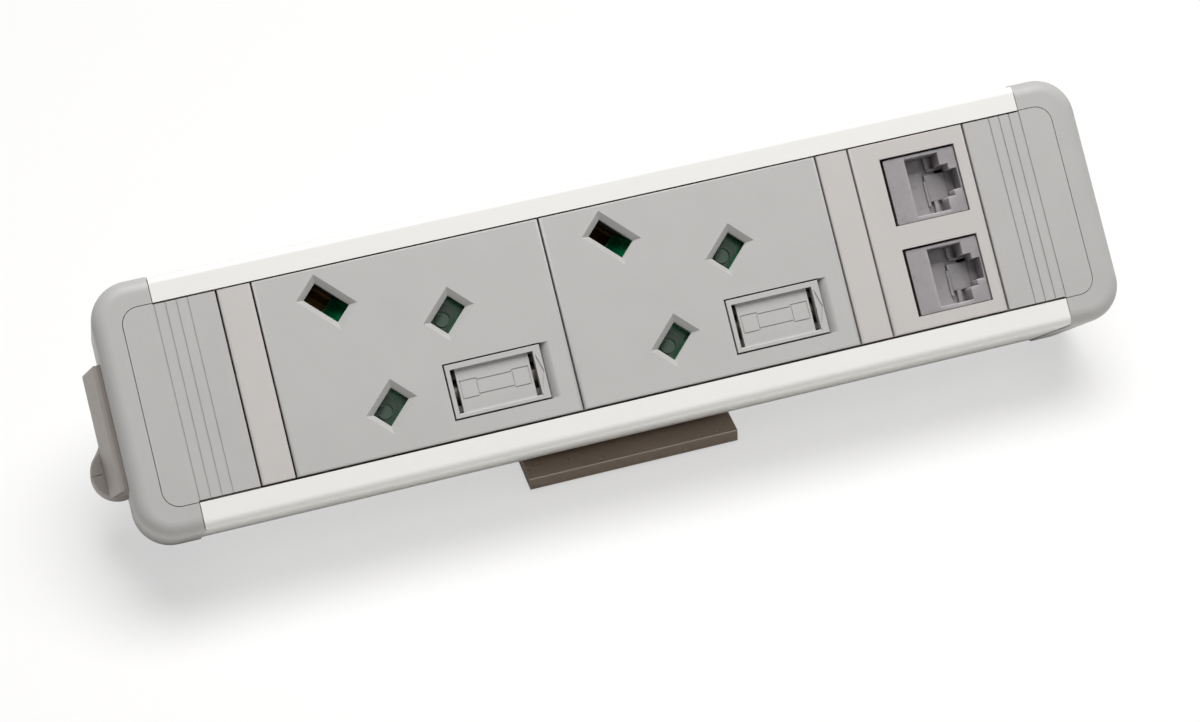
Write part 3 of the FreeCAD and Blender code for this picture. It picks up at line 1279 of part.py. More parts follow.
def bracket_screws():
    screws = []
    under = "-body_depth - bracket_thickness"
    for number, x in enumerate(bracket_screw_x()):
        head = rod(f"bracket_screw_head_{number}", "bracket_screw_head_radius", "bracket_screw_head_height",
                   (x, "0", under), "-z")
        shank = rod(f"bracket_screw_shank_{number}", "bracket_screw_radius",
                    "bracket_thickness + back_wall + slot_height - 2 * fit_gap", (x, "0", under))
        key = rod(f"bracket_screw_key_{number}", "bracket_key_radius", "bracket_screw_head_height",
                  (x, "0", f"{under} - bracket_screw_head_height + bracket_key_depth"), "-z")
        screws.append(cut(f"bracket_screw_{number}", fuse(f"bracket_screw_blank_{number}", head, shank), key))
    keep_tilted(group("bracket_screws", *screws), "bracket_screws")


def foot_screws():
    screws = []
    for number, x in enumerate(bracket_screw_x()):
        sink = "foot_screw_head_radius - bracket_screw_radius"
        head = cone(f"foot_screw_head_{number}", "foot_screw_head_radius", "bracket_screw_radius", sink,
                    (x, "foot_screw_y", "pad_thickness"))
        shank = rod(f"foot_screw_shank_{number}", "bracket_screw_radius", "foot_thickness + bracket_thickness",
                    (x, "foot_screw_y", "pad_thickness"))
        screws.append(fuse(f"foot_screw_{number}", head, shank))
    keep(group("foot_screws", *screws), "foot_screws")


# Earth bond on the shell

def earth_bond():
    x, y = "earth_tag_inset - rail_end", "half_opening - earth_tag_radius"
    ring = rod("earth_ring", "earth_tag_radius", "earth_tag_thickness", (x, y, "-inner_depth"))
    tail = block("earth_tail", (f"{x} - earth_tag_radius - earth_tail_length", x), (f"{y} - earth_tail_width / 2", f"{y} + earth_tail_width / 2"),
                 ("-inner_depth", "-inner_depth + earth_tag_thickness"))
    hole = rod("earth_ring_hole", "earth_screw_radius + screw_gap", "earth_tag_thickness + 2 * cut_past",
               (x, y, "-inner_depth - cut_past"))
    keep_tilted(cut("earth_bond_tag", fuse("earth_tag_blank", ring, tail), hole), "earth_bond_tag")
    top = "-inner_depth + earth_tag_thickness"
    head = rod("earth_screw_head", "earth_screw_head_radius", "earth_screw_head_height", (x, y, top))
    shank = rod("earth_screw_shank", "earth_screw_radius", "back_wall + earth_tag_thickness", (x, y, "-body_depth"))
    keep_tilted(fuse("earth_bond_screw", head, shank), "earth_bond_screw")


def build():
    body_extrusion()
    end_cap("end_cap_left", -1, inlet_hole(), gland_room())
    end_cap("end_cap_right", 1)
    for side, way in (("left", -1), ("right", 1)):
        end_insert("end_insert_" + side, way)
        end_clamp_bar("end_clamp_bar_" + side, way)
    end_cap_screws()
    blank_strips()
    for number, middle in ((1, "first_socket_x"), (2, "second_socket_x")):
        socket_front(f"socket_front_{number}", middle)
        socket_base(f"socket_base_{number}", middle)
        shutter(f"shutter_{number}", middle)
        shutter_spring(f"shutter_spring_{number}", middle)
        socket_contacts(number, middle)
        fuse_carrier(f"fuse_carrier_{number}", middle)
        glass_fuse(f"fuse_{number}", middle)
        fuse_clips(f"fuse_clips_{number}", middle)
    socket_screws()
    data_plate()
    for side, way in JACK_WAYS:
        data_jack(side, way)
        jack_contacts(side, way)
        jack_cap(side, way)
    mains_inlet()
    inlet_cover()
    inlet_pins()
    gland_half("upper", 1)
    gland_half("lower", -1)
    conductors()
    earth_bond()
    foot_plate()
    foot_pad()
    tilt_bracket()
    slot_nuts()
    bracket_screws()
    foot_screws()


def check():
    """Stops if any object failed or any sub-part is empty or not valid."""
    doc.recompute()
    failed = [item.Name for item in doc.Objects if {"Invalid", "Error"} & set(item.State)]
    if failed:
        raise ValueError(f"failed objects: {failed}")
    for item in nodes:
        if item.Shape.isNull() or not item.Shape.isValid() or not item.Shape.Solids:
            raise ValueError(f"{item.Label} has no sound shape")


build()
check()
os.makedirs("parts", exist_ok=True)
for item in nodes:
    item.Shape.exportStep(f"parts/{item.Label}.step")
print(len(nodes), "sub-parts written")
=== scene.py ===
import json
import math

import bmesh
import bpy
from bmesh.types import BMEdge, BMFace, BMVert
from bpy.props import FloatProperty, FloatVectorProperty, PointerProperty
from mathutils import Matrix, Vector


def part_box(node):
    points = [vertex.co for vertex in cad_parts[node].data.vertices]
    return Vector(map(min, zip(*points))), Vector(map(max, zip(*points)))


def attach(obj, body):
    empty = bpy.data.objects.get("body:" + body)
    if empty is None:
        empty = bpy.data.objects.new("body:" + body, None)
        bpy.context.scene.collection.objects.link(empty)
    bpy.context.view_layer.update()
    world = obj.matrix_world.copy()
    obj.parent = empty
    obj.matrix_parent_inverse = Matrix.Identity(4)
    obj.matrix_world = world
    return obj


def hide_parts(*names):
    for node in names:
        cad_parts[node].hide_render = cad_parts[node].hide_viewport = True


bl_info = {
    "name": "Desktop power module",
    "version": (1, 0, 0),
    "blender": (4, 5, 0),
    "location": "3D View > Sidebar > Power module",
    "description": "Dresses the frame of a desktop power module with its finished pieces",
    "category": "Object",
}

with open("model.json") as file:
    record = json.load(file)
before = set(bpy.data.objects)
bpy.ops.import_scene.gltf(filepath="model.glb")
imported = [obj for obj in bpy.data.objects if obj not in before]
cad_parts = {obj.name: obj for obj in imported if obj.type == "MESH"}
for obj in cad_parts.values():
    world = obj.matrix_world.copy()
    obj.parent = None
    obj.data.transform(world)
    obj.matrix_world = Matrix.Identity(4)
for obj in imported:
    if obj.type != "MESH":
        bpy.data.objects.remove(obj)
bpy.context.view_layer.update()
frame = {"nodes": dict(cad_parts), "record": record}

# The module's face leans back by this angle about a centre that stands over the foot
FACE_TILT = math.radians(45)
FACE_CENTRE = Vector((0, -0.021, 0.043434))
TILTED = Matrix.Translation(FACE_CENTRE) @ Matrix.Rotation(FACE_TILT, 4, "X") @ Matrix.Scale(0.001, 4)
UPRIGHT = Matrix.Scale(0.001, 4)

WHITE = (1, 1, 1, 1)

# Lengths that differ by less than this many millimetres count as one, and so do angles in radians
NEAR = 1e-3

# How close points must lie, in millimetres, to be on a cut, to be one point, and to be one in a node's facets
CUT_NEAR, WELD_NEAR, FACET_NEAR = 1e-5, 1e-4, 2e-3

# Two directions whose product is above this are one
ALIGNED = 0.99

# A node's facets that turn by less than the first angle are one face, and by more than the second an edge
FACET_TURN, EDGE_TURN = math.radians(0.6), math.radians(30)


def colour(red, green, blue):
    """A display colour, 0 to 255, as the linear colour that a shader takes."""
    def linear(level):
        level /= 255
        return level / 12.92 if level <= 0.04045 else ((level + 0.055) / 1.055) ** 2.4
    return (linear(red), linear(green), linear(blue))


def paint(name, description, *levels):
    """A setting that holds a colour."""
    return FloatVectorProperty(name=name, description=description, subtype="COLOR", size=3, min=0, max=1,
                               default=colour(*levels))


def length(name, description, millimetres):
    """A setting that holds a length."""
    return FloatProperty(name=name, description=description, default=millimetres, min=0, soft_max=100,
                         subtype="DISTANCE")


# Settings that a user would change

class ModuleColours(bpy.types.PropertyGroup):
    """Colours of the module's finishes"""
    rail: paint("Rail", "Powder coat on the extruded shell", 236, 235, 232)
    cap: paint("End cap", "Moulded end caps", 180, 179, 177)
    insert: paint("End insert", "Ribbed strips let into the end caps", 182, 180, 178)
    socket: paint("Socket plate", "Socket fronts and fuse carriers", 184, 183, 181)
    strip: paint("Blank strip", "Blank strips and data plate", 194, 190, 187)
    base: paint("Socket base", "Mouldings behind the plates", 54, 53, 54)
    shutter: paint("Shutter", "Moulded safety shutters", 0, 100, 58)
    # The pads' colour is darkened well below the shutter's own grey-green as painted shade deep in the pin
    # holes; their grain is their own
    shutter_pad_painted_shade: paint("Shutter pad", "Grained pads on the shutters", 12, 36, 24)
    # The discs are darkened as painted shade too, but kept lighter than the pads as a painted highlight on
    # the raised discs
    shutter_disc_painted_light: paint("Shutter disc", "Ejector discs on the shutters' pads", 44, 64, 52)
    jack: paint("Jack", "Clouded jack bodies", 156, 151, 153)
    # Not the plastic's own colour: a dark grey put on the jacks' port floors and outer sides as painted shade
    jack_painted_shade: paint("Jack floor", "Painted shade on the jacks' port floors and outer sides", 84, 76, 74)
    inlet: paint("Inlet", "Wedge shaped mains inlet and its gland", 146, 139, 133)
    foot: paint("Foot", "Anodised foot plate", 166, 153, 141)
    # Darkened well below bright brass, as painted shade for the contacts seen deep in the pin holes; every
    # brass part takes this colour
    brass: paint("Brass", "Contacts, darkened as painted shade", 66, 49, 27)
    gold: paint("Gold", "Plated jack wires", 214, 178, 108)
    steel: paint("Steel", "Screws, nuts and bracket", 176, 178, 180)
    ceramic: paint("Fuse barrel", "Fuse bodies", 226, 222, 212)
    fuse_cap: paint("Fuse cap", "Plated ends of the fuses", 112, 106, 96)
    rubber: paint("Foot pad", "Rubber under the foot", 38, 38, 39)
    line_core: paint("Line core", "Insulation of the line core", 112, 66, 38)
    neutral_core: paint("Neutral core", "Insulation of the neutral core", 40, 84, 158)
    earth_core: paint("Earth core", "Insulation of the earth core", 62, 128, 62)


class ModuleSizes(bpy.types.PropertyGroup):
    """Sizes of the fine detail"""
    engraving: length("Engraving width", "Width of the lines of the fuse sign", 0.22)
    engraving_depth: length("Engraving depth", "Depth of the lines of the fuse sign", 0.2)
    long_edge: length("Long edge", "Rounding of a plate's edges along the rails", 0.36)
    end_edge: length("End edge", "Rounding of a plate's edges towards the next plate", 0.6)
    metal_edge: length("Metal edge", "Rounding along folded and cut metal", 0.12)


class StageSettings(bpy.types.PropertyGroup):
    """Camera, lamps and floor"""
    lens: FloatProperty(name="Lens", description="Focal length on a 36 mm wide frame", default=90, min=20,
                        subtype="DISTANCE_CAMERA")
    sky: FloatProperty(name="Surround", description="Strength of the even light from all round",
                       default=0.13, min=0)
    key: FloatProperty(name="Key lamp", description="Power of the wide lamp overhead", default=17.2, min=0,
                       subtype="POWER")
    floor: paint("Floor", "Colour of the floor", 243, 242, 240)


# Materials

def feed(tree, node, *ordered, **named):
    """Gives a node's inputs, in their order or by name, their levels or the outputs that feed them."""
    by_name = [(node.inputs[name.replace("_", " ")], source) for name, source in named.items()]
    for socket, source in [*zip(node.inputs, ordered), *by_name]:
        if isinstance(source, bpy.types.NodeSocket):
            tree.links.new(source, socket)
        else:
            socket.default_value = source


def add(tree, kind, result, *ordered, **named):
    """Adds a node with its inputs and gives one of its outputs."""
    node = tree.nodes.new(kind)
    feed(tree, node, *ordered, **named)
    return node.outputs[result]


def combine(tree, operation, first, second):
    """Adds a node that works one value out of two."""
    node = tree.nodes.new("ShaderNodeMath")
    node.operation = operation
    feed(tree, node, first, second)
    return node.outputs["Value"]


class Finish:
    """A procedural material that is built up from its shader outwards."""

    def __init__(self, name, tone, roughness, **sockets):
        self.material = bpy.data.materials.new(name)
        self.material.use_nodes = True
        self.tree = self.material.node_tree
        self.shader = self.tree.nodes["Principled BSDF"]
        self.tone = tuple(tone)
        self.last_bump = None
        feed(self.tree, self.shader, Base_Color=(*self.tone, 1), Roughness=roughness, **sockets)

    def noise(self, size, detail=2, rough=0.5, stretch=(1, 1, 1)):
        """Cloudy noise whose lumps are about size millimetres across, and longer where stretch is small."""
        place = add(self.tree, "ShaderNodeTexCoord", "Object")
        place = add(self.tree, "ShaderNodeMapping", "Vector", Vector=place, Scale=stretch)
        return add(self.tree, "ShaderNodeTexNoise", "Fac", Vector=place, Scale=1000 / size, Detail=detail,
                   Roughness=rough)

    def span(self, value, low, high):
        """Spreads the middle of a noise over a range."""
        return add(self.tree, "ShaderNodeMapRange", "Result", Value=value, From_Min=0.3, From_Max=0.7,
                   To_Min=low, To_Max=high)

    def tint(self, value, spread):
        """Lets the colour drift by a share of its own level either way."""
        low = [level * (1 - spread) for level in self.tone]
        high = [min(1, level * (1 + spread)) for level in self.tone]
        mix = self.tree.nodes.new("ShaderNodeMix")
        mix.data_type = "RGBA"
        feed(self.tree, mix, Factor=self.span(value, 0, 1), A=(*low, 1), B=(*high, 1))
        feed(self.tree, self.shader, Base_Color=mix.outputs["Result"])

    def gloss(self, value, low, high):
        """Lets the roughness drift between two levels."""
        feed(self.tree, self.shader, Roughness=self.span(value, low, high))

    def relief(self, value, strength, depth):
        """Adds a bump of so many millimetres, on top of those already there."""
        under = {"Normal": self.last_bump} if self.last_bump else {}
        self.last_bump = add(self.tree, "ShaderNodeBump", "Normal", Height=value, Strength=strength,
                             Distance=depth / 1000, **under)
        feed(self.tree, self.shader, Normal=self.last_bump)


def spark_eroded(name, tone, grain=0.32, depth=0.03, roughness=0.46):
    """A moulding from a spark-eroded tool: a fine even grain under faint clouds."""
    finish = Finish(name, tone, roughness, IOR=1.49)
    finish.tint(finish.noise(9, 3), 0.018)
    finish.gloss(finish.noise(0.8, 2), roughness - 0.05, roughness + 0.06)
    finish.relief(finish.noise(grain, 3, 0.6), 0.35, depth)
    return finish.material


def powder_coat(name, tone):
    """Powder coat over an extrusion: faint draw lines along it under a soft orange peel."""
    finish = Finish(name, tone, 0.36, IOR=1.5)
    finish.tint(finish.noise(14, 2), 0.008)
    finish.gloss(finish.noise(1.6, 2), 0.32, 0.42)
    finish.relief(finish.noise(1.1, 2, stretch=(0.02, 1, 1)), 0.18, 0.02)
    finish.relief(finish.noise(0.7, 2), 0.12, 0.02)
    return finish.material


def metal(name, tone, roughness):
    """Plain or plated metal, a little cloudy."""
    finish = Finish(name, tone, roughness, Metallic=1.0)
    finish.tint(finish.noise(3, 3), 0.06)
    finish.gloss(finish.noise(0.7, 3), roughness - 0.08, roughness + 0.12)
    finish.relief(finish.noise(0.25, 2), 0.15, 0.01)
    return finish.material


def clouded(name, tone):
    """Tinted polycarbonate that lets light in without showing what is behind it."""
    finish = Finish(name, tone, 0.3, IOR=1.58, Subsurface_Weight=0.8, Subsurface_Scale=0.005,
                    Subsurface_Radius=(1, 0.95, 0.93))
    finish.tint(finish.noise(2.6, 3), 0.05)
    finish.gloss(finish.noise(1.1, 2), 0.26, 0.42)
    finish.relief(finish.noise(0.5, 2), 0.2, 0.015)
    return finish.material


def glossy_nylon(name, tone):
    """Polished translucent nylon."""
    finish = Finish(name, tone, 0.24, IOR=1.53, Subsurface_Weight=0.35, Subsurface_Scale=0.0015,
                    Subsurface_Radius=(0.3, 1, 0.5))
    finish.tint(finish.noise(1.4, 3), 0.12)
    finish.gloss(finish.noise(0.5, 2), 0.18, 0.34)
    finish.relief(finish.noise(0.35, 2), 0.15, 0.01)
    return finish.material


def anodised(name, tone):
    """Satin anodised plate, a little cloudy."""
    finish = Finish(name, tone, 0.3, Metallic=0.85)
    finish.tint(finish.noise(7, 2), 0.025)
    finish.gloss(finish.noise(3, 2), 0.27, 0.33)
    return finish.material


def rubber(name, tone):
    """Dull grained rubber."""
    finish = Finish(name, tone, 0.75)
    finish.tint(finish.noise(2, 4), 0.15)
    finish.relief(finish.noise(0.35, 3), 0.4, 0.04)
    return finish.material


def glazed(name, tone):
    """Glazed ceramic."""
    finish = Finish(name, tone, 0.25, IOR=1.5)
    finish.tint(finish.noise(1.6, 3), 0.03)
    finish.relief(finish.noise(0.6, 2), 0.1, 0.01)
    return finish.material


def drawn_plastic(name, tone):
    """Extruded insulation on a core."""
    finish = Finish(name, tone, 0.42, IOR=1.53)
    finish.tint(finish.noise(1.2, 2, stretch=(0.1, 1, 1)), 0.06)
    finish.relief(finish.noise(0.4, 2, stretch=(0.1, 1, 1)), 0.15, 0.02)
    return finish.material


# The finished materials by name, of which most are also the record's material slots
FINISHES = {}


def make_finishes(colours):
    """Makes every material from the module's colours."""
    FINISHES.update({
        "shell_white": powder_coat("shell_white", colours.rail),
        "cap_grey": spark_eroded("cap_grey", colours.cap, 0.3, 0.022),
        "insert_grey": spark_eroded("insert_grey", colours.insert, 0.3, 0.022),
        "strip_grey": spark_eroded("strip_grey", colours.strip, 0.28, 0.02),
        "socket_grey": spark_eroded("socket_grey", colours.socket),
        "carrier_grey": spark_eroded("carrier_grey", colours.socket, 0.26, 0.014, 0.4),
        "base_grey": spark_eroded("base_grey", colours.base, 0.4, 0.02),
        "shutter_green": glossy_nylon("shutter_green", colours.shutter),
        # Pad and disc tones are painted shade, and the disc's lighter tone is a painted highlight
        "shutter_pad_painted_shade": spark_eroded("shutter_pad_painted_shade", colours.shutter_pad_painted_shade, 0.22, 0.03, 0.5),
        "shutter_disc_painted_light": spark_eroded("shutter_disc_painted_light", colours.shutter_disc_painted_light, 0.22, 0.03, 0.5),
        # The brass tone is darkened as painted shade for the contacts deep in the pin holes
        "brass": metal("brass", colours.brass, 0.3),
        "gold_wire": metal("gold_wire", colours.gold, 0.22),
        "zinc_steel": metal("zinc_steel", colours.steel, 0.34),
        "fuse_ceramic": glazed("fuse_ceramic", colours.ceramic),
        "fuse_cap": metal("fuse_cap", colours.fuse_cap, 0.42),
        "jack_grey": clouded("jack_grey", colours.jack),
        # Painted shade for the jacks' port floors and outer sides
        "jack_painted_shade": spark_eroded("jack_painted_shade", colours.jack_painted_shade, 0.4, 0.02),
        "inlet_grey": spark_eroded("inlet_grey", colours.inlet, 0.34, 0.02, 0.42),
        "core_brown": drawn_plastic("core_brown", colours.line_core),
        "core_blue": drawn_plastic("core_blue", colours.neutral_core),
        "core_green": drawn_plastic("core_green", colours.earth_core),
        "foot_taupe": anodised("foot_taupe", colours.foot),
        "pad_rubber": rubber("pad_rubber", colours.rubber),
    })


def dress(node, finish):
    """Gives a carried-over node its finish."""
    part = frame["nodes"][node]
    if not part.data.materials:
        part.data.materials.append(FINISHES[finish])
    for place in part.material_slots:
        place.material = FINISHES[finish]


# Modelling, in millimetres on the tilted face

def only(items, kind):
    """The items of one kind."""
    return [item for item in items if isinstance(item, kind)]


def centre(item):
    """The middle of a face or an edge."""
    return sum((vert.co for vert in item.verts), Vector()) / len(item.verts)


def slab(form, low, high):
    """A block between two corners."""
    low, high = Vector(low), Vector(high)
    place = Matrix.Translation((low + high) / 2) @ Matrix.Diagonal((*(high - low), 1))
    verts = bmesh.ops.create_cube(form, size=1, matrix=place)["verts"]
    form.normal_update()
    return verts


def edges_of(verts):
    """The edges that have both their ends among the vertices."""
    chosen = set(verts)
    return [edge for edge in {e for vert in verts for e in vert.link_edges}
            if edge.verts[0] in chosen and edge.verts[1] in chosen]


def ease(form, edges, radius, steps=2):
    """Rounds edges off."""
    bmesh.ops.bevel(form, geom=edges, offset=radius, offset_type="OFFSET", segments=steps, profile=0.5,
                    affect="EDGES", material=-1, clamp_overlap=True)
    form.normal_update()


def slice_off(form, verts, point, normal):
    """Cuts away what stands beyond a plane and closes the cut."""
    faces = {face for vert in verts for face in vert.link_faces}
    geometry = list(verts) + edges_of(verts) + list(faces)
    made = bmesh.ops.bisect_plane(form, geom=geometry, dist=CUT_NEAR, plane_co=point, plane_no=normal,
                                  clear_outer=True)
    rim = only(made["geom_cut"], BMEdge)
    bmesh.ops.holes_fill(form, edges=rim, sides=0)
    form.normal_update()


def within(point, span):
    """Whether a point lies inside a span, which is its lowest and highest x and its lowest and highest y."""
    return span[0] < point.x < span[1] and span[2] < point.y < span[3]


def score(form, faces, cuts):
    """Cuts a patch of faces along planes, each a point and a normal."""
    for point, normal in cuts:
        geometry = set(faces)
        for face in faces:
            geometry.update(face.edges)
            geometry.update(face.verts)
        made = bmesh.ops.bisect_plane(form, geom=list(geometry), dist=CUT_NEAR, plane_co=point,
                                      plane_no=normal)
        faces = only(made["geom"], BMFace)
    form.normal_update()
    return faces


def split(form, faces, across=(), up=()):
    """Cuts a patch of faces along lines of constant x and y."""
    cuts = [(Vector((level, 0, 0)), Vector((1, 0, 0))) for level in sorted(across)]
    return score(form, faces, cuts + [(Vector((0, level, 0)), Vector((0, 1, 0))) for level in sorted(up)])


def sheet(form, spans, windows=(), level=0.0):
    """A flat sheet in the outline of overlapping rectangles, less its windows."""
    low = Vector((min(span[0] for span in spans), min(span[2] for span in spans), level))
    high = Vector((max(span[1] for span in spans), max(span[3] for span in spans), level))
    place = Matrix.Translation((low + high) / 2) @ Matrix.Diagonal((high.x - low.x, high.y - low.y, 1, 1))
    made = bmesh.ops.create_grid(form, x_segments=1, y_segments=1, size=0.5, matrix=place)
    form.normal_update()
    faces = list({face for vert in made["verts"] for face in vert.link_faces})
    lines = (*spans, *windows)
    faces = split(form, faces, {at for span in lines for at in span[:2] if low.x < at < high.x},
                  {at for span in lines for at in span[2:] if low.y < at < high.y})
    spare = [face for face in faces if not any(within(centre(face), span) for span in spans)
             or any(within(centre(face), window) for window in windows)]
    bmesh.ops.delete(form, geom=spare, context="FACES")
    return [face for face in faces if face.is_valid]


def lift(form, faces, height, keep=False):
    """Extrudes a patch of faces outwards and returns the faces that moved."""
    made = bmesh.ops.extrude_face_region(form, geom=faces, use_keep_orig=keep)["geom"]
    moved = only(made, BMVert)
    bmesh.ops.translate(form, vec=(0, 0, height), verts=moved)
    if not keep:
        bmesh.ops.delete(form, geom=[face for face in faces if face.is_valid], context="FACES_ONLY")
    form.normal_update()
    return only(made, BMFace)


def sink(form, faces, depth, draft):
    """Presses a patch of faces in, with walls that lean by the draft."""
    bmesh.ops.inset_region(form, faces=faces, thickness=draft, depth=-depth, use_even_offset=True,
                           use_boundary=True)
    form.normal_update()


def level_faces(form, level):
    """The flat faces at one height."""
    return [face for face in form.faces
            if abs(face.normal.z) > ALIGNED and abs(centre(face).z - level) < NEAR]


def rims(faces):
    """The edges where a flat patch meets its walls."""
    patch = set(faces)
    return [edge for edge in {e for face in faces for e in face.edges}
            if len(edge.link_faces) == 2 and sum(face in patch for face in edge.link_faces) == 1]


def gather(form, part, place=Matrix.Identity(4)):
    """Moves one form into another, in its place."""
    part.transform(place)
    carrier = bpy.data.meshes.new("carried")
    part.to_mesh(carrier)
    part.free()
    form.from_mesh(carrier)
    bpy.data.meshes.remove(carrier)


def put(name, data):
    """Adds an object to the scene."""
    item = bpy.data.objects.new(name, data)
    bpy.context.scene.collection.objects.link(item)
    return item


# A patch larger than this many square millimetres is a flat one
FLAT_PATCH = 25


def rounded(face):
    """Whether a face belongs to a rounding: it is small, and no face beside it is level with it."""
    joins = [edge for edge in face.edges if len(edge.link_faces) == 2]
    return face.calc_area() < FLAT_PATCH and all(edge.calc_face_angle(1) > NEAR for edge in joins)


def finish(form, name, finishes, slot, body, *nodes, frame_of=TILTED, sharp=32):
    """Turns a form into a piece in its place, with its finish, that stands for its nodes."""
    bmesh.ops.remove_doubles(form, verts=form.verts[:], dist=WELD_NEAR)
    bmesh.ops.recalc_face_normals(form, faces=form.faces[:])
    smooth = [rounded(face) for face in form.faces]
    form.transform(frame_of)
    mesh = bpy.data.meshes.new(name)
    form.to_mesh(mesh)
    form.free()
    mesh.set_sharp_from_angle(angle=math.radians(sharp))
    mesh.polygons.foreach_set("use_smooth", smooth)
    for item in finishes:
        mesh.materials.append(FINISHES[item])
    piece = put(name, mesh)
    flats = piece.modifiers.new("flats", "WEIGHTED_NORMAL")
    flats.keep_sharp = True
    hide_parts(*nodes)
    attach(piece, body)


# Places on the tilted face, in millimetres: x along the module, y up the face, z out of it. A span is a
# rectangle's lowest and highest x, then its lowest and highest y

# The middle of each socket, and in it the earth pin and the middle of the fuse drawer
SOCKETS = {"1": -42.85, "2": 17.25}
EARTH_PIN = Vector((-16, 13.05))
PIN_TURN = math.radians(-45)
FUSE_PLACE = Vector((14.05, -10.5, 0))
FUSE_DEPTH = 5.9

# How far the plates reach down and up between the rails, and where the ribbed strips and the rails end
PLATE_LOW, PLATE_HIGH = -20.1, 20.28
INSERT_END, RAIL_END = 80.225, 92.75

# The middle of each jack
JACKS = {"upper": 9.45, "lower": -10.05}


def pin_frame(socket):
    """Stands at a socket's earth pin with x towards the bar of the other two pins."""
    pin = Vector((SOCKETS[socket] + EARTH_PIN.x, EARTH_PIN.y, 0))
    return Matrix.Translation(pin) @ Matrix.Rotation(PIN_TURN, 4, "Z")


# A fuse carrier's front, the panel sunk inside its border, and the slots at the panel's ends
CARRIER_FRONT = (-10.0, 10.0, -5.55, 5.58)
CARRIER_PANEL = (-9.1, 8.4, -4.62, 4.5)
CARRIER_SLOTS = ((-9.1, -8.0, -4.62, 4.5), (7.4, 8.4, -4.62, 4.5))
CARRIER_BACK, PANEL_THICKNESS, BORDER_HEIGHT = -2.2, 1.2, 1.0

# The span inside the border's outer edges, the span that holds the panel's lower edge, and their roundings
BORDER_INSIDE, PANEL_SILL = (-9.9, 9.9, -5.5, 5.5), (-9.5, 8.8, -5, -4)
BORDER_ROUND, SILL_ROUND = 0.07, 0.3


def fuse_carrier(form, sizes):
    """A bordered front with a sunk panel between two slots, and the cradle behind it."""
    faces = sheet(form, [CARRIER_FRONT], windows=CARRIER_SLOTS, level=CARRIER_BACK)
    top = lift(form, faces, PANEL_THICKNESS, keep=True)
    border = [face for face in top if not within(centre(face), CARRIER_PANEL)]
    panel = [face for face in top if within(centre(face), CARRIER_PANEL)]
    raised = lift(form, border, BORDER_HEIGHT)
    engrave(form, panel, fuse_outline(sizes.engraving), sizes.engraving_depth)
    around = [edge for edge in rims(raised) if not within(centre(edge), BORDER_INSIDE)]
    sill = [edge for edge in rims(raised) if within(centre(edge), PANEL_SILL)]
    ease(form, around, BORDER_ROUND)
    ease(form, sill, SILL_ROUND, 1)
    arrow(form)
    cradle(form)


def stroke_frame(span, width):
    """Four strokes just inside a rectangle."""
    left, right, low, high = span
    return [(left, left + width, low, high), (right - width, right, low, high),
            (left, right, low, low + width), (left, right, high - width, high)]


# The fuse sign's two end caps, and the barrel between them
SIGN_CAPS = ((-7.65, -3.98, -1.93, 1.95), (3.33, 6.98, -1.93, 1.95))
SIGN_BARREL = (-3.98, 3.33, -1.55, 1.6)


def fuse_outline(width):
    """The strokes of a small fuse: two end caps and the barrel between them."""
    left, right, low, high = SIGN_BARREL
    barrel = [(left, right, low, low + width), (left, right, high - width, high)]
    return [stroke for cap in SIGN_CAPS for stroke in stroke_frame(cap, width)] + barrel


def engrave(form, faces, strokes, depth):
    """Sinks a pattern of strokes into a flat patch."""
    faces = split(form, faces, {at for stroke in strokes for at in stroke[:2]},
                  {at for stroke in strokes for at in stroke[2:]})
    cut = [face for face in faces if any(within(centre(face), stroke) for stroke in strokes)]
    lift(form, cut, -depth)


# The arrowhead's tip and its two other corners, how deep it is let in, and where the right border starts
ARROW_TIP, ARROW_HIGH, ARROW_LOW = Vector((9.85, 0.15, 0)), Vector((8.78, 3.75, 0)), Vector((8.78, -3.45, 0))
ARROW_DEPTH, RIGHT_BORDER = 0.3, 8


def arrow(form):
    """A shallow arrowhead let into the right border, which points the way the drawer is pushed."""
    upper, lower = ARROW_HIGH - ARROW_TIP, ARROW_LOW - ARROW_TIP
    normals = [Vector((upper.y, -upper.x, 0)), Vector((-lower.y, lower.x, 0))]
    border = [face for face in level_faces(form, 0) if centre(face).x > RIGHT_BORDER]
    cuts = [(ARROW_TIP, normal) for normal in normals] + [(ARROW_HIGH, Vector((1, 0, 0)))]
    head = [face for face in score(form, border, cuts) if centre(face).x > ARROW_HIGH.x
            and all((centre(face) - ARROW_TIP).dot(normal) < 0 for normal in normals)]
    lift(form, head, -ARROW_DEPTH)


# Where the cradle's two walls start up the face and how thick they are, each wall's neck and side as spans in
# (x, z), and the corners of the floor
CRADLE_LOWS, CRADLE_WALL = (-4.0, 2.7), 1.3
CRADLE_NECK, CRADLE_SIDE = (-7.7, 7.1, -5.2, -1.9), (-9.6, 9.6, -12, -5)
CRADLE_FLOOR = ((-7, -3.9, -9.8), (7, 3.9, -8.55))
SIDE_ROUND, FLOOR_ROUND = 0.3, 0.12


def cradle(form):
    """Two walls and a floor that hold the fuse behind the front."""
    for low in CRADLE_LOWS:
        for left, right, back, front in (CRADLE_NECK, CRADLE_SIDE):
            verts = slab(form, (left, low, back), (right, low + CRADLE_WALL, front))
        ease(form, [edge for edge in edges_of(verts) if at_level(edge, 2, CRADLE_SIDE[2])], SIDE_ROUND)
    ease(form, edges_of(slab(form, *CRADLE_FLOOR)), FLOOR_ROUND, 1)


# A fuse's radius, half its length, and the length, step and rounding of its caps
FUSE_RADIUS, FUSE_REACH = 2.48, 9.95
FUSE_CAP, FUSE_STEP, FUSE_ROUND = 5.2, 0.25, 0.4


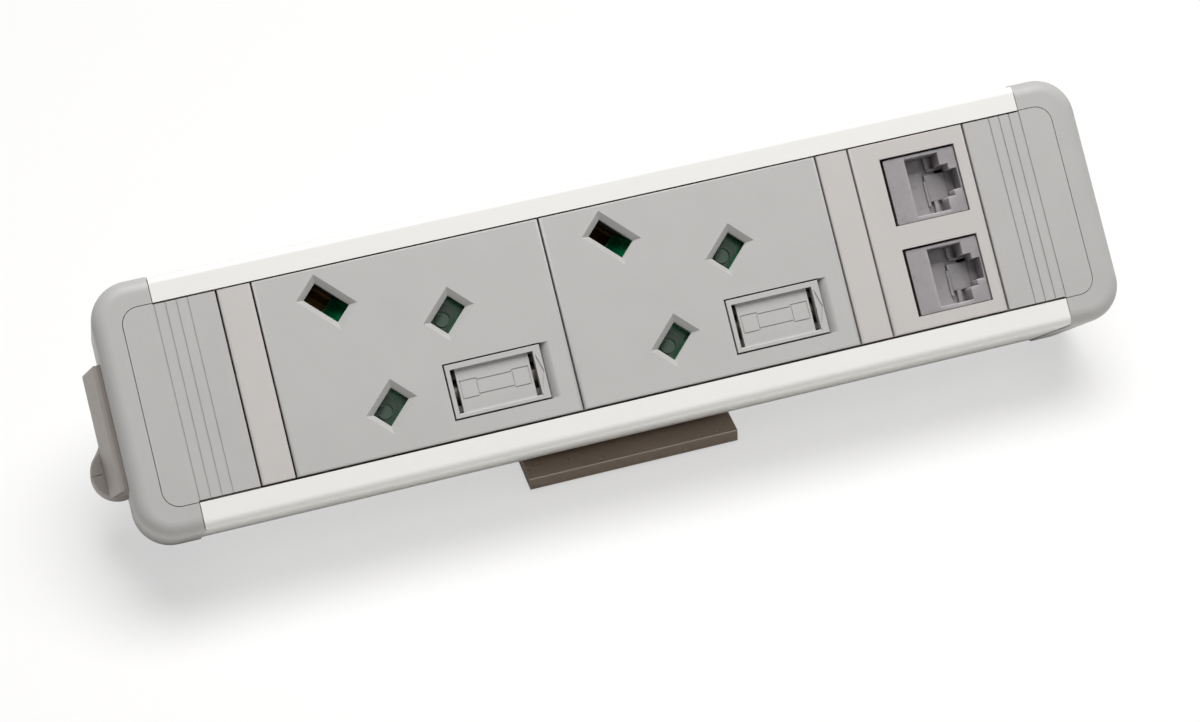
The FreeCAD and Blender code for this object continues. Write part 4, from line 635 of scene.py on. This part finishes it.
def fuse(form):
    """A cartridge fuse that lies across the cradle: a ceramic barrel between two metal caps."""
    barrel_end = FUSE_REACH - FUSE_CAP
    half = [(0, FUSE_REACH), (FUSE_RADIUS - FUSE_ROUND, FUSE_REACH), (FUSE_RADIUS, FUSE_REACH - FUSE_ROUND),
            (FUSE_RADIUS, barrel_end), (FUSE_RADIUS - FUSE_STEP, barrel_end)]
    revolve(form, half + [(radius, -height) for radius, height in reversed(half)], steps=32)
    for face in form.faces:
        face.material_index = int(abs(centre(face).z) < barrel_end)
    form.transform(Matrix.Translation((0, 0, -FUSE_DEPTH)) @ Matrix.Rotation(math.radians(90), 4, "Y"))


# A shutter's outline from the earth pin towards the other two: the ramp's frame, the bar and the blades, and
# the window under the ramp
STEM_START, BAR_START, STEM_END, BLADE_START, BLADE_END = 4.85, 16.28, 20.18, 19.48, 24.93
STEM_HALF, BLADE_INNER, BAR_HALF, BLADE_REACH = 3.3, 5.63, 7.58, 14.63
SHUTTER_OUTLINE = (
    (STEM_START, STEM_END, -STEM_HALF, STEM_HALF),
    (BAR_START, STEM_END, -BAR_HALF, BAR_HALF),
    (BAR_START, BLADE_END, BLADE_INNER, BAR_HALF),
    (BAR_START, BLADE_END, -BAR_HALF, -BLADE_INNER),
    (BLADE_START, BLADE_END, BLADE_INNER, BLADE_REACH),
    (BLADE_START, BLADE_END, -BLADE_REACH, -BLADE_INNER),
)
SHUTTER_WINDOW = (7.25, 13.85, -0.95, 0.95)
SHUTTER_BACK, WELL_HEIGHT, SHUTTER_RISE = -4.35, 0.25, 1.65
BLADE_MIDDLE = 11.1


def shutter(form):
    """A sliding shutter: a ramp under the earth hole, a stem, a bar and two blades."""
    faces = sheet(form, SHUTTER_OUTLINE, windows=[SHUTTER_WINDOW], level=SHUTTER_BACK)
    top = lift(form, faces, WELL_HEIGHT, keep=True)
    lift(form, [face for face in top if not blade_well(centre(face))], SHUTTER_RISE)
    for way in (1, -1):
        blade_pad(form, way * BLADE_MIDDLE)
    ramp(form)


def blade_well(point):
    """Whether a point lies in the lower part of a blade, under the pin hole."""
    return point.x > BLADE_START and BAR_HALF < abs(point.y) < BLADE_REACH


# A blade's pad: its span, with y counted from the blade's middle, its foot and top, and its rounded corner
PAD_SPAN, PAD_FOOT, PAD_LEVEL, PAD_CORNER = (19.6, 23.7, -3.45, 1.75), -4.2, -3.3, 1.1

# The middle of the disc on it, with y counted likewise, and the radii of the disc's flat, of its rounded rim
# and of the groove round it, and the one inside which a face belongs to the disc's top
DISC_X, DISC_Y = 21.8, -1.3
DISC_FLAT, DISC_RIM, DISC_GROOVE, DISC_TOP = 1.42, 1.5, 1.78, 1.48
DISC_PROFILE = ((0, 0.1), (DISC_FLAT, 0.1), (DISC_RIM, 0.02), (DISC_RIM, -0.5), (DISC_GROOVE, -0.5),
                (DISC_GROOVE, 0))
DISC_STEPS = 40


def blade_pad(form, middle):
    """The raised pad of a blade, with a round disc inside a fine groove."""
    pad = bmesh.new()
    left, right, low, high = PAD_SPAN
    verts = slab(pad, (left, middle + low, PAD_FOOT), (right, middle + high, PAD_LEVEL))
    corner = [edge for edge in edges_of(verts)
              if at_level(edge, 0, right) and at_level(edge, 1, middle + high)]
    ease(pad, corner, PAD_CORNER, 5)
    border = [edge for face in level_faces(pad, PAD_LEVEL) for edge in face.edges]
    bmesh.ops.delete(pad, geom=level_faces(pad, PAD_LEVEL), context="FACES_ONLY")
    place = Matrix.Translation((DISC_X, middle + DISC_Y, PAD_LEVEL))
    bmesh.ops.create_circle(pad, segments=DISC_STEPS, radius=DISC_GROOVE, matrix=place)
    rim = [edge for edge in pad.edges if edge.is_boundary and edge not in border or not edge.link_faces]
    bmesh.ops.triangle_fill(pad, use_beauty=True, edges=border + rim, normal=(0, 0, 1))
    # The pad's top takes the darker finish, as painted shade
    for face in level_faces(pad, PAD_LEVEL):
        face.material_index = 1
    disc = bmesh.new()
    revolve(disc, DISC_PROFILE, steps=DISC_STEPS)
    # The disc's top takes the lighter finish, as a painted highlight
    for face in disc.faces:
        face.material_index = 2 if centre(face).xy.length < DISC_TOP else 0
    gather(pad, disc, place)
    gather(form, pad)


# The ramp's block, where its slope meets the shutter, and how far the dish in the slope is sunk and drawn in
RAMP_LOW, RAMP_HIGH = (0.25, -2.35, -8.25), (6.45, 2.35, -2.45)
RAMP_EDGE = Vector((STEM_START, 0, -2.45))
RAMP_SLOPE = Vector((-5.1, 0, 4.6)).normalized()
DISH_DEPTH, DISH_DRAFT = 0.45, 0.9


def ramp(form):
    """The wedge that an earth pin pushes aside, with a dished slope."""
    slice_off(form, slab(form, RAMP_LOW, RAMP_HIGH), RAMP_EDGE, RAMP_SLOPE)
    tilted = [face for face in form.faces if face.normal.dot(RAMP_SLOPE) > ALIGNED]
    sink(form, tilted, DISH_DEPTH, DISH_DRAFT)


# A jack's front, and its port as rectangles that narrow towards the latch
JACK_FRONT = (61.4, 77.05, -7.1, 6.8)
JACK_PORT = ((66.0, 73.4, -6.2, 6.2), (73.4, 75.1, -3.5, 3.5), (75.1, 76.75, -2.25, 2.25))

# A span that holds the port's walls and leaves out the jack's outer ones
PORT_WALLS = (62.3, 76.9, -6.4, 6.3)
JACK_SETBACK, PORT_BACK, PORT_FLOOR, BLOCK_BACK, JACK_BACK = -0.5, -13, -13.05, -13.1, -17

# The roundings of a jack's corners and of its edges, and the corners of the latch on its side
JACK_CORNER, JACK_EDGE = 0.8, 0.2
JACK_LATCH = ((77.0, -3, -4.6), (78.45, 3, -2.35))


def jack(form, middle):
    """A network jack: a clouded block with a stepped port whose latch groove is on the right."""
    left, right, low, high = JACK_FRONT
    lift(form, sheet(form, [JACK_FRONT], windows=JACK_PORT, level=PORT_BACK), JACK_SETBACK - PORT_BACK)
    corners = [edge for edge in form.edges if any(at_level(edge, 0, x) for x in (left, right))
               and any(at_level(edge, 1, y) for y in (low, high))]
    ease(form, corners, JACK_CORNER, 4)
    ease(form, rims(level_faces(form, JACK_SETBACK)), JACK_EDGE)
    # The jack's outer sides take the dark finish, as painted shade in the gap round the jack
    for face in form.faces:
        if abs(face.normal.z) < 0.3 and not within(centre(face), PORT_WALLS):
            face.material_index = 1
    slab(form, (left, low, JACK_BACK), (right, high, PORT_FLOOR))
    port_floor(form)
    latch = slab(form, *JACK_LATCH)
    ease(form, [edge for edge in edges_of(latch) if at_level(edge, 0, JACK_LATCH[1][0])], JACK_EDGE)
    bmesh.ops.translate(form, vec=(0, middle, 0), verts=form.verts)


# What stands inside a port: each block's span, its front, and how far its front edges are rounded
PORT_BLOCKS = (
    (66.0, 73.4, -6.2, 6.2, -5.9, 0.1),
    (66.0, 70.3, -6.2, 3.4, -5.1, 0.1),
    (66.0, 70.1, 3.2, 6.2, -5.3, 0.1),
    (70.2, 70.9, -4.3, 1.2, -4.7, 0.25),
    (70.7, 75.2, -3.35, 2.4, -4.9, 0.25),
    (75.2, 76.75, -3.35, 3.0, -5.0, 0.1),
    (71.6, 76.4, 3.05, 3.75, -5.4, 0.2),
    (71.4, 72.3, 3.7, 6.2, -4.9, 0.1),
    (71.6, 72.5, -6.2, -3.3, -4.9, 0.1),
)


def port_floor(form):
    """The blocks behind the port's mouth, on a floor that takes the dark finish as painted shade."""
    for left, right, low, high, front, radius in PORT_BLOCKS:
        verts = slab(form, (left, low, BLOCK_BACK), (right, high, front))
        ease(form, [edge for edge in edges_of(verts) if at_level(edge, 2, front)], radius)
    # The port's floor takes the dark finish, as painted shade deep in the port
    for face in level_faces(form, PORT_FLOOR):
        face.material_index = 1


# A jack's sprung wires: how far each step leans over and rises
WIRE_STEPS = ((0.0, 2.4), (0.1, 2.2), (0.25, 2.1), (0.35, 1.6))
WIRE_RADIUS, WIRE_SIDES, WIRE_PITCH, WIRE_COUNT = 0.2, 10, 1.02, 8
WIRE_X, WIRE_ROOT = 66.25, -12.85


def jack_wires(form, middle):
    """Eight sprung wires that come out of the port's floor and lean over towards its mouth."""
    for number in range(WIRE_COUNT):
        wire = bmesh.new()
        bmesh.ops.create_circle(wire, segments=WIRE_SIDES, radius=WIRE_RADIUS)
        ring = wire.edges[:]
        for reach, rise in WIRE_STEPS:
            made = bmesh.ops.extrude_edge_only(wire, edges=ring)["geom"]
            verts = only(made, BMVert)
            ring = only(made, BMEdge)
            bmesh.ops.translate(wire, vec=(reach, 0, rise), verts=verts)
        bmesh.ops.holes_fill(wire, edges=wire.edges[:], sides=0)
        across = middle + (number - (WIRE_COUNT - 1) / 2) * WIRE_PITCH
        gather(form, wire, Matrix.Translation((WIRE_X, across, WIRE_ROOT)))


# The inlet's lowest and highest y, the profiles of its wedge and of the cover over it as (x, z), and the
# corners of the body behind the wedge
INLET_MIDDLE, INLET_HALF = -1.7, 12.95
INLET_SPAN = (INLET_MIDDLE - INLET_HALF, INLET_MIDDLE + INLET_HALF)
WEDGE_PROFILE = ((-105.6, -4.5), (-106.3, -4.5), (-108.3, -17.6), (-108.3, -18.8), (-105.6, -18.8))
COVER_PROFILE = ((-107.3, -4.5), (-109.3, -17.6), (-109.3, -18.8), (-108.3, -18.8), (-108.3, -17.6),
                 (-106.3, -4.5))
INLET_BODY = ((-105.6, -13.35, -17.5), (-86, 9.95, -5.8))
WEDGE_ROUND, COVER_ROUND, BODY_ROUND = 0.15, 0.4, 0.5

# The cover's front edge lies to the right of this, and stays sharp
COVER_FRONT = -107.2


def prism(form, profile, low, high):
    """A solid that runs up the face with a profile of (x, z) points."""
    verts = [form.verts.new((x, low, z)) for x, z in profile]
    face = form.faces.new(verts)
    made = bmesh.ops.extrude_face_region(form, geom=[face], use_keep_orig=True)["geom"]
    moved = only(made, BMVert)
    bmesh.ops.translate(form, vec=(0, high - low, 0), verts=moved)
    form.normal_update()
    return verts + moved


def inlet_flange(form):
    """The wedge on the cap's side, with the body that passes through the cap's wall."""
    verts = prism(form, WEDGE_PROFILE, *INLET_SPAN)
    x, z = WEDGE_PROFILE[1]
    front = [edge for edge in edges_of(verts) if at_level(edge, 0, x) and at_level(edge, 2, z)]
    ease(form, front, WEDGE_ROUND)
    body = slab(form, *INLET_BODY)
    ease(form, [edge for edge in edges_of(body) if at_level(edge, 0, INLET_BODY[1][0])], BODY_ROUND)


def inlet_cover(form):
    """The cover over the wedge's slope, rounded along its two ends."""
    verts = prism(form, COVER_PROFILE, *INLET_SPAN)
    ends = [edge for edge in edges_of(verts) if any(at_level(edge, 1, level) for level in INLET_SPAN)]
    ease(form, [edge for edge in ends if centre(edge).x < COVER_FRONT], COVER_ROUND)


def revolve(form, profile, steps=48):
    """Turns a profile of (radius, height) about the upright axis through the middle."""
    verts = [form.verts.new((radius, 0, height)) for radius, height in profile]
    edges = [form.edges.new(pair) for pair in zip(verts, verts[1:])]
    bmesh.ops.spin(form, geom=verts + edges, cent=(0, 0, 0), axis=(0, 0, 1), angle=math.tau, steps=steps,
                   use_merge=True, use_duplicate=False)
    bmesh.ops.remove_doubles(form, verts=form.verts[:], dist=WELD_NEAR)
    form.normal_update()


# The gland's middle, and the outlines of its belly and of its neck's hollow flare as (radius, height)
GLAND_PLACE = Vector((-106.6, -9.3, -25.05))
GLAND_BELLY = ((0, 4.45), (3, 4.45), (3, -5.95), (5.2, -5.95), (5.6, -5.5), (5.6, 4.6), (5.25, 5.5),
               (4.4, 5.95), (0, 5.95))
GLAND_NECK = ((0, 7.9), (1.75, 7.9), (1.95, 7.6), (2.15, 6.9), (2.6, 6.1), (3.2, 5.2), (3.9, 4.3),
              (4.6, 3.2), (0, 3.2))

# Each half stops this far from the plane between them
GLAND_SEAM = 0.06


def gland_body():
    """The gland's belly, turned front to back, and the neck that flares down into it."""
    form, neck = bmesh.new(), bmesh.new()
    revolve(form, GLAND_BELLY)
    revolve(neck, GLAND_NECK)
    gather(form, neck, Matrix.Rotation(math.radians(-90), 4, "X"))
    return form


def merge_level(form):
    """Merges faces that lie level with each other and drops points along straight edges."""
    bmesh.ops.dissolve_limit(form, angle_limit=FACET_TURN, verts=form.verts[:], edges=form.edges[:])
    form.normal_update()


def merged_copy(node, upright=False):
    """A node's own form with its loose facets merged."""
    form = bmesh.new()
    form.from_mesh(frame["nodes"][node].data)
    form.transform((UPRIGHT if upright else TILTED).inverted())
    bmesh.ops.remove_doubles(form, verts=form.verts[:], dist=FACET_NEAR)
    merge_level(form)
    return form


def at_level(edge, axis, level):
    """Whether an edge lies in one plane across an axis."""
    return all(abs(vert.co[axis] - level) < NEAR for vert in edge.verts)


def fill_front(form):
    """Fills the flat front anew, so that no seam in it ends beside a corner."""
    bmesh.ops.delete(form, geom=level_faces(form, 0), context="FACES")
    spare = [vert for vert in form.verts if len(vert.link_edges) == 2 and vert.calc_edge_angle(1) < NEAR]
    bmesh.ops.dissolve_verts(form, verts=spare)
    rim = [edge for edge in form.edges if edge.is_boundary and at_level(edge, 2, 0)]
    bmesh.ops.triangle_fill(form, use_beauty=True, edges=rim, normal=(0, 0, 1))


# A plate's rounded rim is cut off this far in, and the plate drawn out again over it
RIM_CUT = 0.45


def clip_plate(node, sizes):
    """A plate's own form, drawn in from the rails, with rounder edges all round."""
    form = merged_copy(node)
    low, high = (corner[0] * 1000 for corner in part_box(node))
    sides = ((0, low, -1), (0, high, 1), (1, PLATE_LOW, -1), (1, PLATE_HIGH, 1))
    for axis, level, way in sides:
        point, normal = Vector((0, 0, 0)), Vector((0, 0, 0))
        point[axis], normal[axis] = level - way * RIM_CUT, way
        slice_off(form, form.verts[:], point, normal)
        for vert in form.verts:
            if abs(vert.co[axis] - point[axis]) < NEAR:
                vert.co[axis] = level
    fill_front(form)
    rim = [edge for edge in form.edges if at_level(edge, 2, 0)
           and any(at_level(edge, axis, level) for axis, level, way in sides)]
    squeeze = Matrix.Diagonal((sizes.long_edge / sizes.end_edge, 1, 1, 1))
    form.transform(squeeze)
    ease(form, rim, sizes.long_edge, 4)
    form.transform(squeeze.inverted())
    return form


# The length over which a ribbed strip widens past the rails' ends, and its upper side beside the rails
STRIP_STEP, STRIP_HIGH = 0.1, PLATE_HIGH - 0.08


def clear_rails(form, inner):
    """Draws a ribbed strip's long sides in beside the rails, as far as the rails reach."""
    way = math.copysign(1, inner)
    for reach in (RAIL_END, RAIL_END + STRIP_STEP):
        whole = form.verts[:] + form.edges[:] + form.faces[:]
        bmesh.ops.bisect_plane(form, geom=whole, plane_co=(way * reach, 0, 0), plane_no=(1, 0, 0),
                               dist=WELD_NEAR)
    for vert in form.verts:
        if abs(vert.co.x) < RAIL_END + NEAR and abs(vert.co.y) > PLATE_HIGH:
            vert.co.y = STRIP_HIGH if vert.co.y > 0 else PLATE_LOW


# The finger scoop beside a fuse drawer: where it starts, counted from the drawer's middle, its length, half
# its height and its depth, and the power by which it curves up
SCOOP_START, SCOOP_LENGTH, SCOOP_HALF, SCOOP_DEPTH = 10.35, 1.7, 5.8, 1.5
SCOOP_STEPS, SCOOP_CURVE = 6, 1.7


def scoop(form, left):
    """Hollows the ramp beside the fuse carrier into a finger scoop."""
    place = (left - 0.1, left + SCOOP_LENGTH, FUSE_PLACE.y - SCOOP_HALF, FUSE_PLACE.y + SCOOP_HALF)
    slope = [face for face in form.faces if within(centre(face), place)
             and 0.2 < face.normal.z < 0.95]
    cuts = [left + SCOOP_LENGTH * step / SCOOP_STEPS for step in range(1, SCOOP_STEPS)]
    faces = split(form, slope, across=cuts)
    for vert in {vert for face in faces for vert in face.verts}:
        vert.co.z = -SCOOP_DEPTH * (1 - (vert.co.x - left) / SCOOP_LENGTH) ** SCOOP_CURVE
    form.normal_update()


def eased_copy(node, radius):
    """An upright node's own form with its sharp edges rounded."""
    form = merged_copy(node, upright=True)
    sharp = [edge for edge in form.edges if len(edge.link_faces) == 2
             and edge.calc_face_angle(0) > EDGE_TURN]
    ease(form, sharp, radius)
    return form


# Operators

class POWERMODULE_OT_finishes(bpy.types.Operator):
    """Make the finishes and put them on the parts that stay as they are"""
    bl_idname = "power_module.finishes"
    bl_label = "Finishes"

    def execute(self, context):
        make_finishes(context.scene.module_colours)
        for part in frame["record"]["subparts"]:
            dress(part["node"], part["material_slot"])
        return {"FINISHED"}


class POWERMODULE_OT_end_inserts(bpy.types.Operator):
    """Round the inner ends of the ribbed strips in the end caps"""
    bl_idname = "power_module.end_inserts"
    bl_label = "End inserts"

    def execute(self, context):
        radius = context.scene.module_sizes.end_edge
        for node, inner in (("end_insert_left", -INSERT_END), ("end_insert_right", INSERT_END)):
            form = merged_copy(node)
            clear_rails(form, inner)
            end = [edge for edge in form.edges if at_level(edge, 2, 0) and at_level(edge, 0, inner)]
            ease(form, end, radius, 4)
            finish(form, node + "_strip", ["insert_grey"], "insert_grey", "module", node)
        return {"FINISHED"}


class POWERMODULE_OT_plates(bpy.types.Operator):
    """Ease the edges of the plates between the rails"""
    bl_idname = "power_module.plates"
    bl_label = "Plates"

    def execute(self, context):
        sizes = context.scene.module_sizes
        for node in ("blank_strip_left", "blank_strip_right", "data_plate"):
            finish(clip_plate(node, sizes), node + "_face", ["strip_grey"], "strip_grey", "module", node)
        for number, middle in SOCKETS.items():
            node = f"socket_front_{number}"
            form = clip_plate(node, sizes)
            scoop(form, middle + FUSE_PLACE.x + SCOOP_START)
            finish(form, node + "_face", ["socket_grey"], "socket_grey", "module", node)
        return {"FINISHED"}


class POWERMODULE_OT_fuse_carriers(bpy.types.Operator):
    """Model the two fuse carriers and their fuses"""
    bl_idname = "power_module.fuse_carriers"
    bl_label = "Fuse carriers"

    def execute(self, context):
        for number, middle in SOCKETS.items():
            body = f"fuse_drawer_{number}"
            place = Matrix.Translation(FUSE_PLACE + Vector((middle, 0, 0)))
            form = bmesh.new()
            fuse_carrier(form, context.scene.module_sizes)
            form.transform(place)
            finish(form, f"fuse_carrier_{number}_front", ["carrier_grey"], "carrier_grey", body,
                   f"fuse_carrier_{number}")
            form = bmesh.new()
            fuse(form)
            form.transform(place)
            finish(form, f"fuse_{number}_cartridge", ["fuse_cap", "fuse_ceramic"], "fuse_ceramic", body,
                   f"fuse_{number}")
        return {"FINISHED"}


class POWERMODULE_OT_shutters(bpy.types.Operator):
    """Model the shutters behind the pin holes"""
    bl_idname = "power_module.shutters"
    bl_label = "Shutters"

    def execute(self, context):
        for number in SOCKETS:
            form = bmesh.new()
            shutter(form)
            form.transform(pin_frame(number))
            finish(form, f"shutter_{number}_slide", ["shutter_green", "shutter_pad_painted_shade", "shutter_disc_painted_light"],
                   "shutter_green", f"shutter_slider_{number}", f"shutter_{number}")
        return {"FINISHED"}


class POWERMODULE_OT_jacks(bpy.types.Operator):
    """Model the network jacks and their wires"""
    bl_idname = "power_module.jacks"
    bl_label = "Network jacks"

    def execute(self, context):
        for side, middle in JACKS.items():
            form = bmesh.new()
            jack(form, middle)
            finish(form, f"jack_{side}", ["jack_grey", "jack_painted_shade"], "jack_grey", "module",
                   f"data_jack_{side}")
            form = bmesh.new()
            jack_wires(form, middle)
            finish(form, f"jack_wires_{side}", ["gold_wire"], "gold_wire", "module",
                   f"jack_contacts_{side}", sharp=60)
        return {"FINISHED"}


class POWERMODULE_OT_inlet(bpy.types.Operator):
    """Model the wedge-shaped mains inlet"""
    bl_idname = "power_module.inlet"
    bl_label = "Mains inlet"

    def execute(self, context):
        form = bmesh.new()
        inlet_flange(form)
        finish(form, "inlet_flange", ["inlet_grey"], "inlet_grey", "module", "mains_inlet")
        form = bmesh.new()
        inlet_cover(form)
        finish(form, "inlet_cover_plate", ["inlet_grey"], "inlet_grey", "module", "inlet_cover")
        return {"FINISHED"}


class POWERMODULE_OT_gland(bpy.types.Operator):
    """Model the two halves of the cable gland"""
    bl_idname = "power_module.gland"
    bl_label = "Cable gland"

    def execute(self, context):
        for side, way in (("upper", 1), ("lower", -1)):
            form = gland_body()
            slice_off(form, form.verts[:], Vector((0, way * GLAND_SEAM, 0)), Vector((0, -way, 0)))
            form.transform(Matrix.Translation(GLAND_PLACE))
            finish(form, f"gland_{side}", ["inlet_grey"], "inlet_grey", "module", f"gland_{side}_half")
        return {"FINISHED"}


class POWERMODULE_OT_foot(bpy.types.Operator):
    """Ease the edges of the foot and its bracket"""
    bl_idname = "power_module.foot"
    bl_label = "Foot"

    def execute(self, context):
        edge = context.scene.module_sizes.metal_edge
        for node in ("foot_plate", "tilt_bracket"):
            form = eased_copy(node, edge)
            finish(form, node + "_painted", ["foot_taupe"], "foot_taupe", "module", node, frame_of=UPRIGHT)
        return {"FINISHED"}


# The camera as found from the photograph: its right, up and back directions, and its place in metres
CAMERA_AXES = ((0.957133, -0.284709, -0.053261), (0.222933, 0.606717, 0.763018),
               (-0.184923, -0.742183, 0.644180))
CAMERA_PLACE = (-0.12065, -0.48387, 0.43047)
SENSOR_WIDTH = 36

# The lamp's width, place and aim, and half the floor's width, in metres
LAMP_WIDTH, LAMP_PLACE, LAMP_AIM = 1.0, Vector((0.16, 0.02, 1.2)), Vector((0, 0, 0.03))
FLOOR_HALF = 3

# The share of plain white in what the camera sees of the floor
FLOOR_GLOW = 0.55


class POWERMODULE_OT_stage(bpy.types.Operator):
    """Set the floor, lamp, surround and camera"""
    bl_idname = "power_module.stage"
    bl_label = "Stage"

    def execute(self, context):
        context.scene.view_settings.view_transform = "Standard"
        for step in (self.surround, self.floor, self.lamp, self.camera):
            step(context.scene.module_stage)
        return {"FINISHED"}

    def surround(self, settings):
        """White where it is seen or mirrored, and a faint even light for the rest."""
        world = bpy.data.worlds.new("surround")
        world.use_nodes = True
        tree = world.node_tree
        rays = tree.nodes.new("ShaderNodeLightPath").outputs
        seen = rays["Is Camera Ray"]
        for kind in ("Is Transmission Ray", "Is Glossy Ray"):
            seen = combine(tree, "MAXIMUM", seen, rays[kind])
        strength = add(tree, "ShaderNodeMapRange", "Result", Value=seen, To_Min=settings.sky, To_Max=1)
        feed(tree, tree.nodes["Background"], Color=WHITE, Strength=strength)
        bpy.context.scene.world = world

    def floor(self, settings):
        """A wide floor that keeps the module's shadow."""
        form = bmesh.new()
        bmesh.ops.create_grid(form, x_segments=8, y_segments=8, size=FLOOR_HALF)
        mesh = bpy.data.meshes.new("floor")
        form.to_mesh(mesh)
        form.free()
        matt = Finish("floor", settings.floor, 0.85, Specular_IOR_Level=0.1)
        tree = matt.tree
        share = combine(tree, "MULTIPLY", add(tree, "ShaderNodeLightPath", "Is Camera Ray"), FLOOR_GLOW)
        glow = add(tree, "ShaderNodeEmission", "Emission", Color=WHITE)
        mixed = add(tree, "ShaderNodeMixShader", "Shader", share, matt.shader.outputs["BSDF"], glow)
        feed(tree, tree.nodes["Material Output"], Surface=mixed)
        mesh.materials.append(matt.material)
        floor = put("floor", mesh)

    def lamp(self, settings):
        """One wide soft lamp overhead."""
        light = bpy.data.lights.new("key_lamp", "AREA")
        light.energy = settings.key
        light.shape = "DISK"
        light.size = LAMP_WIDTH
        lamp = put("key_lamp", light)
        lamp.location = LAMP_PLACE
        lamp.rotation_euler = (LAMP_AIM - LAMP_PLACE).to_track_quat("-Z", "Y").to_euler()

    def camera(self, settings):
        """A camera that stands where the photograph's did."""
        lens = bpy.data.cameras.new("camera")
        lens.sensor_fit = "HORIZONTAL"
        lens.sensor_width = SENSOR_WIDTH
        lens.lens = settings.lens
        lens.clip_start = 0.01
        camera = put("camera", lens)
        turned = Matrix(CAMERA_AXES).transposed().to_4x4()
        camera.matrix_world = Matrix.Translation(CAMERA_PLACE) @ turned
        bpy.context.scene.camera = camera


class POWERMODULE_PT_pieces(bpy.types.Panel):
    """Lists the steps that dress the module"""
    bl_label = "Power module"
    bl_space_type = "VIEW_3D"
    bl_region_type = "UI"
    bl_category = "Power module"

    def draw(self, context):
        column = self.layout.column()
        for step in STEPS:
            column.operator(step.bl_idname)


# The steps in the order in which they run
STEPS = (
    POWERMODULE_OT_finishes,
    POWERMODULE_OT_end_inserts,
    POWERMODULE_OT_plates,
    POWERMODULE_OT_fuse_carriers,
    POWERMODULE_OT_shutters,
    POWERMODULE_OT_jacks,
    POWERMODULE_OT_inlet,
    POWERMODULE_OT_gland,
    POWERMODULE_OT_foot,
    POWERMODULE_OT_stage,
)
GROUPS = {
    "module_colours": ModuleColours,
    "module_sizes": ModuleSizes,
    "module_stage": StageSettings,
}
CLASSES = (*GROUPS.values(), *STEPS, POWERMODULE_PT_pieces)


def register():
    for cls in CLASSES:
        bpy.utils.register_class(cls)
    for name, group in GROUPS.items():
        setattr(bpy.types.Scene, name, PointerProperty(type=group))


def unregister():
    for name in GROUPS:
        delattr(bpy.types.Scene, name)
    for cls in reversed(CLASSES):
        bpy.utils.unregister_class(cls)


def main():
    register()
    for step in STEPS:
        family, action = step.bl_idname.split(".")
        getattr(getattr(bpy.ops, family), action)()


if __name__ == "__main__":
    main()
